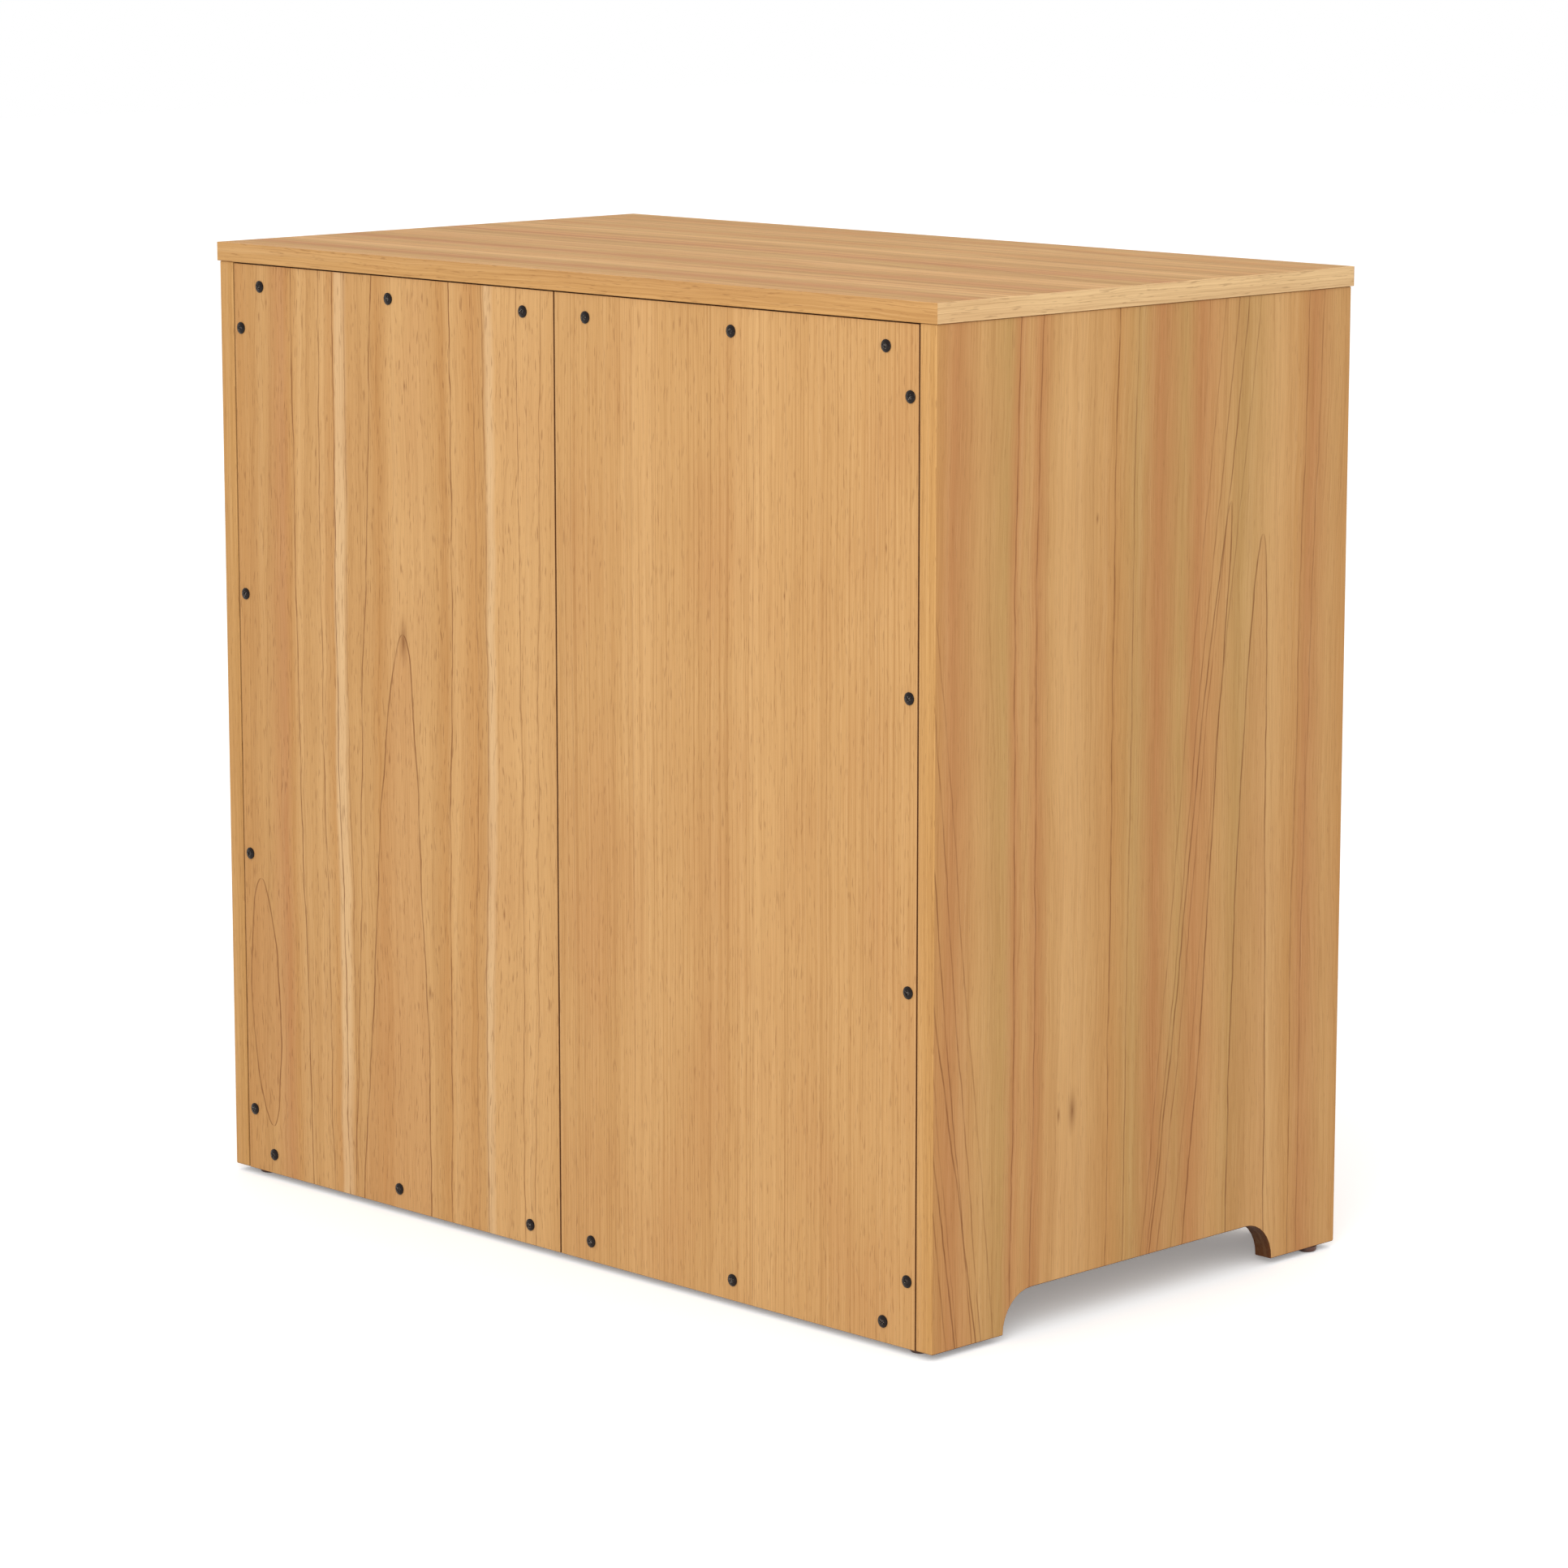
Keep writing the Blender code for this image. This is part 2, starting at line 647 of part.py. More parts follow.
def keeper_outline():
    """The keeper seen from above, from the door's free edge: a plate and a hook over a hollow."""
    lip = LATCH_PIVOT_U + TONGUE_REACH + KEEPER_CLEARANCE
    far = lip + KEEPER_L
    neck = lip + KEEPER_L * 0.14
    throat_v = LATCH_PIVOT_V - TONGUE_DROP * 0.50 + KEEPER_CLEARANCE
    top = SEAT + KEEPER_RISE
    sole = lip + KEEPER_CLEARANCE
    return [
        (sole, SEAT),
        (far, SEAT),
        (far, SEAT + KEEPER_T),
        (lip + KEEPER_L * 0.52, SEAT + KEEPER_T),
        (lip + KEEPER_L * 0.38, top - KEEPER_T * 0.6),
        (lip + KEEPER_L * 0.30, top),
        (lip, top),
        (lip, throat_v),
        (neck, throat_v),
        (neck, SEAT + KEEPER_T),
        (sole, SEAT + KEEPER_T),
    ]


def outward(direction):
    """Turns an outline's (u, v, depth) into x, y, z, with u towards the keeper and v to the front."""

    def to_space(u, v, c):
        return (direction * u, -v, c)

    return to_space


def build_latch(name, free_x, z, direction, brass, door):
    """direction is +1 where the keeper lies on the +X side of the door's free edge."""
    to_space = outward(direction)
    base_size = (LATCH_BASE_L, LATCH_BASE_T, LATCH_BASE_H)
    base_x = free_x - direction * (LATCH_BASE_END + LATCH_BASE_L / 2)
    base_y = FRONT_Y - SEAT - LATCH_BASE_T / 2
    base = add_object(
        name + "_latch_base", box_mesh(name + "_base", base_size), brass, (base_x, base_y, z), door
    )
    pivot = (free_x + direction * LATCH_PIVOT_U, FRONT_Y - LATCH_PIVOT_V, z)
    for label, way in (("upper", 1), ("lower", -1)):
        ear_z = z + way * (LATCH_EAR_IN + LATCH_EAR_T / 2)
        mesh = prism_mesh(f"{name}_{label}_ear", ear_outline(), LATCH_EAR_T, to_space)
        place = (pivot[0], pivot[1], ear_z)
        combine(base, add_object(f"{name}_{label}_ear", mesh, None, place, door), "UNION")
    eye_r = LATCH_PIN_R + PIN_CLEARANCE
    bore_mesh = rod_mesh(name + "_eye_bore", eye_r, 2 * LATCH_BASE_H)
    combine(base, add_object(name + "_eye_bore", bore_mesh, None, pivot, door), "DIFFERENCE")

    axis = joint_empty(name + "_latch_axis", pivot, door)
    width = 2 * (LATCH_EAR_IN - LEVER_CLEARANCE)
    mesh = prism_mesh(name + "_lever", lever_outline(), width, to_space)
    lever = add_object(name + "_lever", mesh, brass, pivot, axis)
    ear_out = LATCH_EAR_IN + LATCH_EAR_T + LEVER_CLEARANCE
    half = ear_out + LATCH_PIN_HEAD_H
    profile = [(0, half), (LATCH_PIN_HEAD_R, half), (LATCH_PIN_HEAD_R, ear_out)]
    profile += [(LATCH_PIN_R, ear_out)]
    profile += [(radius, -height) for radius, height in reversed(profile)]
    pin = add_object(name + "_latch_pin", turned_mesh(name + "_latch_pin", profile), None, pivot, axis)
    combine(lever, pin, "UNION")

    mesh = prism_mesh(name + "_keeper", keeper_outline(), KEEPER_H, to_space)
    add_object(name + "_keeper", mesh, brass, (free_x, FRONT_Y, z))


# ---------------------------------------------------------------- whole cabinet
def main():
    clear_scene()
    veneer = material("honey_veneer", (0.60, 0.36, 0.15), 0.45)
    solid = material("honey_wood", (0.58, 0.34, 0.14), 0.45)
    brass = material("aged_brass", (0.42, 0.29, 0.12), 0.35, 1.0)
    plastic = material("brown_plastic", (0.10, 0.05, 0.03), 0.5)
    build_carcass(veneer)
    build_shelves(veneer)
    build_face_frame(solid)
    build_glides(plastic)
    finishes = (solid, brass)
    left = (-OPENING_OUT_X, -OPENING_IN_X)
    right = (OPENING_IN_X, OPENING_OUT_X)
    build_door("ice_door", *left, MID_RAIL_TOP_Z, TOP_RAIL_Z, HINGE_END_ICE, finishes)
    build_door("lower_door", *left, BASE_RAIL_Z, MID_RAIL_Z, HINGE_END_LOWER, finishes)
    build_door("tall_door", *right, BASE_RAIL_Z, TOP_RAIL_Z, HINGE_END_TALL, finishes)


main()
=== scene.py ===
"""Looks for an icebox-style cabinet: lacquered veneer boards, framed doors, aged brass and black screws.

Every length is in metres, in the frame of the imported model: +Z up, the doors face -Y, floor at 0.
A board's surface carries a "grain" attribute: metres across the grain, through the board, along it.
"""

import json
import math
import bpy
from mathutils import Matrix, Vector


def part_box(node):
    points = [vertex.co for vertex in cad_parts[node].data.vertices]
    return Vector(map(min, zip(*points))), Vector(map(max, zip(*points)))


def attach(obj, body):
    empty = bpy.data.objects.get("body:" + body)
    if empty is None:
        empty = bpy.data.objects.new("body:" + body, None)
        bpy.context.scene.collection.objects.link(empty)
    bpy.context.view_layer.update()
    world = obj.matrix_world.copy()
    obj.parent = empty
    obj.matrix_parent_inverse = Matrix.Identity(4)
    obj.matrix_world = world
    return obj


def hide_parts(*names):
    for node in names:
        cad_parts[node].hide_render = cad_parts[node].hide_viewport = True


bl_info = {
    "name": "Icebox cabinet looks",
    "version": (1, 0, 0),
    "blender": (4, 5, 0),
    "location": "View3D > Sidebar > Icebox",
    "description": "Builds the veneered boards, doors, brass hardware and screws of an icebox cabinet",
    "category": "Object",
}

import bmesh
import bpy
import numpy as np

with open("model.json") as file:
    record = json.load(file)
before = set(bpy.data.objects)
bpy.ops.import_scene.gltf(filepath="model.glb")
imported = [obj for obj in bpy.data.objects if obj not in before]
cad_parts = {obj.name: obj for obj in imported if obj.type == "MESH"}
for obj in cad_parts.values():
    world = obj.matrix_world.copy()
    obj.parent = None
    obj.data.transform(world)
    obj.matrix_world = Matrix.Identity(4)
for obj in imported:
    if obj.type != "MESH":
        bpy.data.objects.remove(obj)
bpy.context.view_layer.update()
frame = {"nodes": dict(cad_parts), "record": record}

MM = 0.001
X, Y, Z = 0, 1, 2
FIT = 0.3 * MM  # play round a board that is let into another
ARCH_FOOT = 76 * MM  # width of each foot beside an arch
ARCH_RISE = 31 * MM  # floor edge of a board to the top of its arch
PANEL_EDGE = 7.4 * MM  # thickness of a raised panel in its groove
GROOVE = 8 * MM  # depth of the groove, and length of the rails' stub tenons
DOORS = ("ice_door", "lower_door", "tall_door")


# ---------------------------------------------------------------- sizes and colours
class IceboxWood(bpy.types.PropertyGroup):
    """Tones and edges of the wooden pieces."""

    straw: bpy.props.StringProperty(name="Straw", description="Palest stripes, sRGB hex", default="E6BD8A")
    honey: bpy.props.StringProperty(name="Honey", description="Light bands, sRGB hex", default="DCAC72")
    tan: bpy.props.StringProperty(name="Tan", description="Usual tone, sRGB hex", default="D3A268")
    amber: bpy.props.StringProperty(name="Amber", description="Deeper bands, sRGB hex", default="CC975C")
    russet: bpy.props.StringProperty(name="Russet", description="Reddest bands, sRGB hex", default="C68C58")
    olive: bpy.props.StringProperty(name="Olive", description="Greenish bands, sRGB hex", default="C69B60")
    tape: bpy.props.StringProperty(name="Edge tape", description="Long edges, sRGB hex", default="D5A262")
    pale_tape: bpy.props.StringProperty(name="End tape", description="Top's ends, sRGB hex", default="F3CD97")
    # Dark brown of the cut edges: partly their own tone, partly painted shade for the gaps and the arches'
    # cut faces.
    raw: bpy.props.StringProperty(name="Cut edge", description="Stained cut edge, sRGB hex", default="55301C")
    line: bpy.props.StringProperty(name="Late wood", description="Growth lines, sRGB hex", default="95602F")
    pore: bpy.props.StringProperty(name="Pores", description="Open pores, sRGB hex", default="7A4824")
    gloss: bpy.props.FloatProperty(name="Roughness", description="Of the satin lacquer", default=0.48)
    arris: bpy.props.FloatProperty(
        name="Arris", description="Radius of a board's edges", default=0.8 * MM, unit="LENGTH"
    )
    tape_thickness: bpy.props.FloatProperty(
        name="Tape", description="Thickness of the top's edge tape", default=0.8 * MM, unit="LENGTH"
    )


class IceboxHardware(bpy.types.PropertyGroup):
    """Colours and sizes of the metal and plastic pieces."""

    brass: bpy.props.StringProperty(name="Brass", description="Bright brass, sRGB hex", default="B9965A")
    patina: bpy.props.StringProperty(name="Patina", description="Aged brass, sRGB hex", default="8A7046")
    tarnish: bpy.props.StringProperty(name="Tarnish", description="Brass screws, sRGB hex", default="5C4526")
    black: bpy.props.StringProperty(name="Lacquer", description="Back screws, sRGB hex", default="150B07")
    # Colour of the bare-steel patches on the back screws, which are painted glints.
    steel: bpy.props.StringProperty(name="Bare steel", description="Worn recess, sRGB hex", default="958C84")
    plastic: bpy.props.StringProperty(name="Glide", description="Plastic, sRGB hex", default="5A3527")
    plastic_shade: bpy.props.StringProperty(name="Glide shade", description="Grain, hex", default="3A221A")
    head_radius: bpy.props.FloatProperty(
        name="Back screw", description="Radius of a back screw's head", default=4.7 * MM, unit="LENGTH"
    )
    head_height: bpy.props.FloatProperty(
        name="Back screw height", description="Height of its head", default=1.9 * MM, unit="LENGTH"
    )
    softening: bpy.props.FloatProperty(
        name="Softening", description="Radius of the castings' edges", default=0.45 * MM, unit="LENGTH"
    )


class IceboxStage(bpy.types.PropertyGroup):
    """Camera, light and floor."""

    lens: bpy.props.FloatProperty(name="Lens", description="On a 36 mm wide sensor", default=121.6)
    world: bpy.props.FloatProperty(name="World", description="Strength of the even light", default=0.92)
    key: bpy.props.FloatProperty(name="Key", description="Watts of the large soft lamp", default=82.0)


# ---------------------------------------------------------------- materials
LACQUER_IOR = 1.5
FIGURE_HEIGHT = 747 * MM  # of the upright sheets on which figure is placed
LINE_WIDTH = 0.95 * MM  # from a growth line's middle to where its ink has gone
ARCH_SOFT, ARCH_SHARP = 1.1 * MM, 0.2 * MM  # distance off an arch's line where its ink is none, and full
ARCH_FADE = 2 * MM  # half width at which an arch's line is whole


def linear(text):
    """sRGB hex to linear RGBA: c/12.92 below 0.04045, else ((c + 0.055)/1.055) to the power 2.4."""
    part = [int(text[i : i + 2], 16) / 255 for i in (0, 2, 4)]
    return (*[c / 12.92 if c <= 0.04045 else ((c + 0.055) / 1.055) ** 2.4 for c in part], 1.0)


def fill(tree, node, inputs):
    """Sets or links a node's inputs, by place, or by name or number where they are a dict.

    A node given as an input stands for its first live output.
    """
    for key, value in inputs.items() if isinstance(inputs, dict) else enumerate(inputs):
        if isinstance(value, bpy.types.Node):
            value = next(out for out in value.outputs if out.enabled)
        if isinstance(value, bpy.types.NodeSocket):
            tree.links.new(value, node.inputs[key])
        else:
            node.inputs[key].default_value = value


def add(tree, kind, inputs=(), **settings):
    """Adds a node with its settings and links."""
    made = tree.nodes.new("ShaderNode" + kind)
    for key, value in settings.items():
        setattr(made, key, value)
    fill(tree, made, inputs)
    return made


def new_material(name, **sockets):
    """A material with its Principled shader, whose plain values are given by socket name."""
    made = bpy.data.materials.new(name)
    made.use_nodes = True
    shader = made.node_tree.nodes["Principled BSDF"]
    fill(made.node_tree, shader, {key.replace("_", " "): value for key, value in sockets.items()})
    return made, made.node_tree, shader


def streaks(tree, grain, across, along, detail, place):
    """Soft streaks of wood, `across` mm wide and `along` mm long, lying along the grain."""
    fine, slow = 1 / (across * MM), 1 / (along * MM)
    stretched = add(tree, "Mapping", {0: grain, "Location": place, "Scale": (fine, fine, slow)})
    return add(tree, "TexNoise", {0: stretched, "Scale": 1.0, "Detail": detail})


def growth_lines(tree, across, along, lines):
    """Dark lines (place at the top, place at the foot, strength), in mm, on a board FIGURE_HEIGHT tall.

    Each is at full strength where the distance to the straight line from foot to top is 0, and falls to
    nothing at LINE_WIDTH.
    """
    total = None
    for top, foot, strength in lines:
        slope = (top - foot) * MM / FIGURE_HEIGHT
        place = add(tree, "Math", (along, slope, foot * MM), operation="MULTIPLY_ADD")
        gap = add(tree, "Math", (across, place), operation="SUBTRACT")
        away = add(tree, "Math", (gap,), operation="ABSOLUTE")
        ink = add(tree, "MapRange", (away, LINE_WIDTH, 0.0, 0.0, strength))
        total = ink if total is None else add(tree, "Math", (total, ink), operation="MAXIMUM")
    return total


def cathedral(tree, across, along, place, top, length, half, lean, closed):
    """One arch of flat-sawn figure: returns its line and the wood inside it.

    With s = (top - along) / length, the arch is half * sqrt(s) wide each side, or, where it closes
    into an eye, half * sqrt(sin(pi s)), about a centre that moves by lean * s.
    """
    share = add(tree, "MapRange", (along, top * MM, (top - length) * MM))
    bow = share
    if closed:
        turn = add(tree, "Math", (share, math.pi), operation="MULTIPLY")
        bow = add(tree, "Math", (turn,), operation="SINE")
    bow = add(tree, "Math", (bow, 0.0), operation="MAXIMUM")
    bow = add(tree, "Math", (bow,), operation="SQRT")
    reach = add(tree, "Math", (bow, half * MM), operation="MULTIPLY")
    centre = add(tree, "Math", (share, lean * MM, place * MM), operation="MULTIPLY_ADD")
    gap = add(tree, "Math", (across, centre), operation="SUBTRACT")
    away = add(tree, "Math", (gap,), operation="ABSOLUTE")
    depth = add(tree, "Math", (reach, away), operation="SUBTRACT")
    edge = add(tree, "Math", (depth,), operation="ABSOLUTE")
    present = add(tree, "MapRange", (reach, 0.0, ARCH_FADE))
    shapes = (edge, ARCH_SOFT, ARCH_SHARP), (depth, 0.0, ARCH_FADE)
    line, inside = (add(tree, "MapRange", shape) for shape in shapes)
    return [add(tree, "Math", (shape, present), operation="MULTIPLY") for shape in (line, inside)]


def wood(
    name,
    bands,
    span=400.0,
    drift=6.0,
    lines=(),
    arches=(),
    knots=(),
    rings=0.3,
    spacing=19.0,
    streak=0.14,
    pinstripe=0.0,
    mottle=0.25,
    pores=0.4,
    sheen=0.1,
    seed=0.0,
):
    """Natural veneer under satin lacquer: low-contrast figure, fine dark pores, a soft even sheen.

    bands are (mm across the sheet, tone) and repeat to and fro past `span`. drift is how far, in mm, the
    figure wanders. rings is the strength of the free growth rings, `spacing` mm apart on average. lines,
    arches and knots are placed in mm across and up the sheet. seed moves every free pattern. The rest are
    strengths from 0 to 1.
    """
    look = bpy.context.scene.icebox_wood
    late, dark, pale = linear(look.line), linear(look.pore), linear(look.straw)
    russet, honey = linear(look.russet), linear(look.honey)
    made, tree, shader = new_material(name, IOR=LACQUER_IOR, Specular_IOR_Level=sheen)
    grain = add(tree, "Attribute", attribute_name="grain").outputs["Vector"]
    parts = add(tree, "SeparateXYZ", (grain,))
    along = parts.outputs["Z"]
    across = add(tree, "Math", (parts.outputs["X"], parts.outputs["Y"]), operation="ADD")

    # The figure wanders slowly, and each line trembles a little.
    slow = streaks(tree, grain, 200, 385, 1.0, (seed, 1.3, 7.7))
    fast = streaks(tree, grain, 38, 59, 4.0, (seed, 4.1, 2.2))
    for pattern, reach in ((slow, 4 * drift * MM), (fast, 1.3 * drift * MM)):
        centred = add(tree, "Math", (pattern, 0.5), operation="SUBTRACT")
        across = add(tree, "Math", (centred, reach, across), operation="MULTIPLY_ADD")
    wandered = add(tree, "CombineXYZ", (across, parts.outputs["Y"], along))

    share = add(tree, "Math", (across, span * MM), operation="DIVIDE")
    folded = add(tree, "Math", (share, 1.0), operation="PINGPONG")
    colour = add(tree, "ValToRGB", (folded,))
    for _ in bands[2:]:
        colour.color_ramp.elements.new(0.5)
    for element, (place, tone) in zip(colour.color_ramp.elements, bands):
        element.position = place / span
        element.color = linear(getattr(look, tone))

    # Broad cloudy patches, soft streaks and pinstripes, each a darker or a paler wood.
    cloud = streaks(tree, grain, 71, 200, 2.0, (seed, 3.0, 1.0))
    bars = streaks(tree, wandered, 6.7, 714, 3.0, (seed, 0.5, 2.0))
    patches = [(cloud, 0.48, 0.75, mottle, russet), (cloud, 0.48, 0.25, mottle, honey)]
    patches += [(bars, 0.45, 0.75, streak, late), (bars, 0.46, 0.25, streak, pale)]
    if pinstripe:
        stripes = streaks(tree, wandered, 1.8, 909, 2.0, (seed, 0.2, 5.0))
        patches += [(stripes, 0.5, 0.72, pinstripe, late), (stripes, 0.5, 0.3, pinstripe * 0.5, pale)]
    layers = [(add(tree, "MapRange", (*patch[:3], 0.0, patch[3])), patch[4]) for patch in patches]

    # Free growth rings: each darkens slowly towards one sharp edge, which fades in and out.
    pace = streaks(tree, grain, 143, 1110, 1.0, (seed, 8.0, 6.0))
    shift = add(tree, "Math", (pace, 7.0), operation="MULTIPLY")
    turns = add(tree, "Math", (across, 1 / (spacing * MM), shift), operation="MULTIPLY_ADD")
    phase = add(tree, "Math", (turns,), operation="FRACT")
    gaps = streaks(tree, wandered, 22, 38, 3.0, (seed, 6.0, 4.0))
    broken = add(tree, "MapRange", (gaps, 0.36, 0.56))
    body = add(tree, "Math", (phase, 3.0), operation="POWER")
    rim = add(tree, "MapRange", (phase, 0.94, 0.985))
    faded = add(tree, "Math", (broken, 0.7, 0.3), operation="MULTIPLY_ADD")
    edge = add(tree, "Math", (rim, faded), operation="MULTIPLY")
    for pattern, most in ((body, rings * 0.5), (edge, rings * 1.4)):
        layers.append((add(tree, "Math", (pattern, most), operation="MULTIPLY"), late))

    # Placed figure: growth lines, cathedral arches, pin knots.
    if lines:
        ink = growth_lines(tree, across, along, lines)
        faded = add(tree, "Math", (broken, 0.6, 0.4), operation="MULTIPLY_ADD")
        layers.append((add(tree, "Math", (ink, faded), operation="MULTIPLY"), dark))
    for arch in arches:
        line, inside = cathedral(tree, across, along, *arch)
        faded = add(tree, "Math", (broken, 0.35, 0.45), operation="MULTIPLY_ADD")
        layers.append((add(tree, "Math", (inside, 0.3), operation="MULTIPLY"), russet))
        layers.append((add(tree, "Math", (line, faded), operation="MULTIPLY"), dark))
    for place, height, radius in knots:
        offset = add(tree, "VectorMath", (grain, (place * MM, 0, height * MM)), operation="SUBTRACT")
        oval = add(tree, "VectorMath", (offset, (1.0, 0.0, 0.28)), operation="MULTIPLY")
        away = add(tree, "VectorMath", (oval,), operation="LENGTH").outputs["Value"]
        near = add(tree, "MapRange", (away, radius * MM, 0.0))
        spot = add(tree, "Math", (near, 1.6), operation="POWER")
        layers.append((add(tree, "Math", (spot, 0.75), operation="MULTIPLY"), dark))

    # Hair-fine fibres and short open pores, drawn a little coarser than life so that they show.
    fibres = streaks(tree, wandered, 0.77, 71, 2.0, (seed, 0.9, 3.0))
    vessels = streaks(tree, wandered, 1.1, 13, 1.0, (seed, 0.7, 4.0))
    pits = add(tree, "MapRange", (vessels, 0.62, 0.72, 0.0, pores))
    layers.append((add(tree, "MapRange", (fibres, 0.45, 0.75, 0.0, 0.28)), late))
    layers.append((add(tree, "MapRange", (fibres, 0.45, 0.2, 0.0, 0.2)), pale))
    layers.append((pits, dark))
    for amount, tone in layers:
        colour = add(tree, "Mix", {0: amount, 6: colour, 7: tone}, data_type="RGBA")

    # Fibres and pores telegraph faintly through the lacquer.
    sunk = add(tree, "Math", (pits, -1.0), operation="MULTIPLY")
    relief = add(tree, "Math", (fibres, 0.25, sunk), operation="MULTIPLY_ADD")
    bump = add(tree, "Bump", {"Strength": 0.35, "Distance": 0.06 * MM, "Height": relief})
    rough = add(tree, "Math", (fibres, 0.12, look.gloss - 0.06), operation="MULTIPLY_ADD")
    fill(tree, shader, {"Base Color": colour, "Normal": bump, "Roughness": rough})
    return made


def laid(tones, step):
    """Bands of wood laid side by side, one every `step` mm."""
    return [(number * step, tone) for number, tone in enumerate(tones.split())]


def placed(text):
    """Bands of wood from pairs of a place across the sheet, in mm, and a tone."""
    words = text.split()
    return [(float(place), tone) for place, tone in zip(words[::2], words[1::2])]


def sheet_materials():
    """The four sheets whose figure shows, the inner boards, the solid wood and the edges."""
    # Flat-sawn veneer: straw and russet bands, dark growth lines and one tall arch with a knot at its tip.
    wood(
        "flat_sawn_back_veneer",
        placed(
            "0 tan 22 honey 70 honey 75 straw 79 straw 83 tan 95 amber 118 honey 127 amber 140 tan 152 honey"
            " 186 honey 206 amber 216 tan 243 tan 249 straw 258 straw 261 amber 274 honey 292 tan 304 honey"
            " 315 amber 325 russet 347 tan 381 amber"
        ),
        span=381.0,
        drift=5.0,
        lines=(
            (314, 298, 0.9), (280, 271, 0.75), (262, 251, 0.95), (247, 241, 0.5), (212, 244, 0.9),
            (119, 124, 0.95), (94, 91, 0.5), (83, 80, 0.6), (46, 38, 0.65), (18, 27, 0.6),
        ),
        arches=((177, 471, 470, 42, 14, False), (359, 251, 206, 17, -9, True)),
        knots=((173, 667, 1.8), (62, 264, 2.2), (151, 188, 2.6), (178, 466, 7.0)),
        rings=0.16,
        seed=11.0,
    )
    # Quarter-sawn veneer: straight pinstripes and pores, cloudy, almost without figure.
    wood(
        "quarter_sawn_back_veneer",
        laid("tan tan tan honey tan tan tan honey tan tan tan tan tan", step=31),
        span=381.0,
        drift=1.2,
        lines=(
            (17, 17, 0.3), (84, 84, 0.3), (168, 166, 0.25),
            (213, 212, 0.35), (246, 246, 0.2), (340, 341, 0.25),
        ),
        knots=((246, 545, 1.2), (349, 590, 1.4)),
        rings=0.05,
        spacing=9.0,
        streak=0.06,
        pinstripe=0.3,
        mottle=0.42,
        pores=0.3,
        seed=23.0,
    )
    # Rift-cut veneer: greenish and reddish bands, with slanting growth lines that meet in narrow arches.
    wood(
        "side_veneer",
        placed(
            "0 amber 18 russet 45 tan 74 olive 85 russet 96 tan 108 russet 122 tan 138 honey 168 tan"
            " 190 amber 214 olive 236 russet 262 olive 279 russet 305 tan 330 olive 372 honey 396 amber"
            " 410 russet 436 tan 456 amber"
        ),
        span=456.0,
        drift=4.0,
        lines=(
            (85, 85, 0.85), (109, 106, 0.7), (190, 187, 0.9), (211, 205, 0.65), (333, 241, 0.8),
            (347, 256, 0.5), (322, 229, 0.65), (306, 222, 0.45), (404, 396, 0.65), (420, 406, 0.55),
            (-45, 44, 0.9), (-60, 27, 0.6), (-30, 54, 0.65), (-22, 68, 0.5), (-75, 15, 0.6),
        ),
        arches=(
            (356, 572, 420, 22, -10, False),
            (318, 600, 590, 19, -66, False),
            (-30, 420, 415, 12, 66, False),
        ),
        knots=((134, 161, 2.6), (149, 162, 6.5), (170, 600, 1.8)),
        rings=0.12,
        pores=0.15,
        seed=37.0,
    )
    # The top's veneer: narrow olive and tan bands along its length, under a duller coat of lacquer.
    top = (
        "olive tan olive russet olive honey tan olive russet olive tan honey olive olive russet tan olive"
        " honey olive amber olive tan olive amber olive"
    )
    wood(
        "top_veneer",
        laid(top, step=19),
        span=458.0,
        drift=5.0,
        rings=0.4,
        streak=0.34,
        pores=0.2,
        sheen=0.02,
        seed=41.0,
    )
    # Inner boards: the same veneer without a figure that anyone chose.
    plain = "tan honey amber tan honey russet tan olive tan honey amber"
    wood("carcass_veneer", laid(plain, step=40), drift=6.0, seed=53.0)
    # Solid face frame and doors: close growth rings, clearer than in veneer.
    solid = "tan tan honey amber tan russet tan honey tan amber tan"
    wood("solid_frame_wood", laid(solid, step=40), drift=6.0, rings=0.4, spacing=12.0, seed=67.0)
    # Iron-on edge tape: narrow, straight and even, and palest at the ends of the top.
    tape = {"span": 60.0, "drift": 3.0, "rings": 0.3, "spacing": 4.0, "streak": 0.24, "pores": 0.3}
    wood("edge_tape", laid("tape tan tape", step=30), seed=71.0, **tape)
    wood("end_tape", laid("pale_tape straw pale_tape", step=30), seed=73.0, **tape)
    # Sawn edges in dark brown: partly their own darker tone, partly painted shade, so that the seams between
    # the back panels, the gap under the top and the arches' cut faces show as dark lines.
    shade_edge_settings = {"span": 60.0, "drift": 2.0, "rings": 0.0, "mottle": 0.1}
    wood("stained_cut_edge", laid("raw raw pore", step=30), seed=83.0, **shade_edge_settings)


def brass_material(name, dull, bright):
    """Aged brass: cast, polished and left to tarnish, so it is cloudy, part dull and part bright."""
    made, tree, shader = new_material(name, Metallic=1.0)
    place = add(tree, "TexCoord").outputs["Object"]
    cloud = add(tree, "TexNoise", {0: place, "Scale": 1 / (26 * MM), "Detail": 5.0})
    grit = add(tree, "TexNoise", {0: place, "Scale": 1 / (1.1 * MM), "Detail": 3.0})
    worn = add(tree, "MapRange", (cloud, 0.22, 0.62))
    colour = add(tree, "Mix", {0: worn, 6: linear(dull), 7: linear(bright)}, data_type="RGBA")
    rough = add(tree, "Math", (cloud, -0.22, 0.44), operation="MULTIPLY_ADD")
    bump = add(tree, "Bump", {"Strength": 0.25, "Distance": 0.05 * MM, "Height": grit})
    fill(tree, shader, {"Base Color": colour, "Normal": bump, "Roughness": rough})
    return made


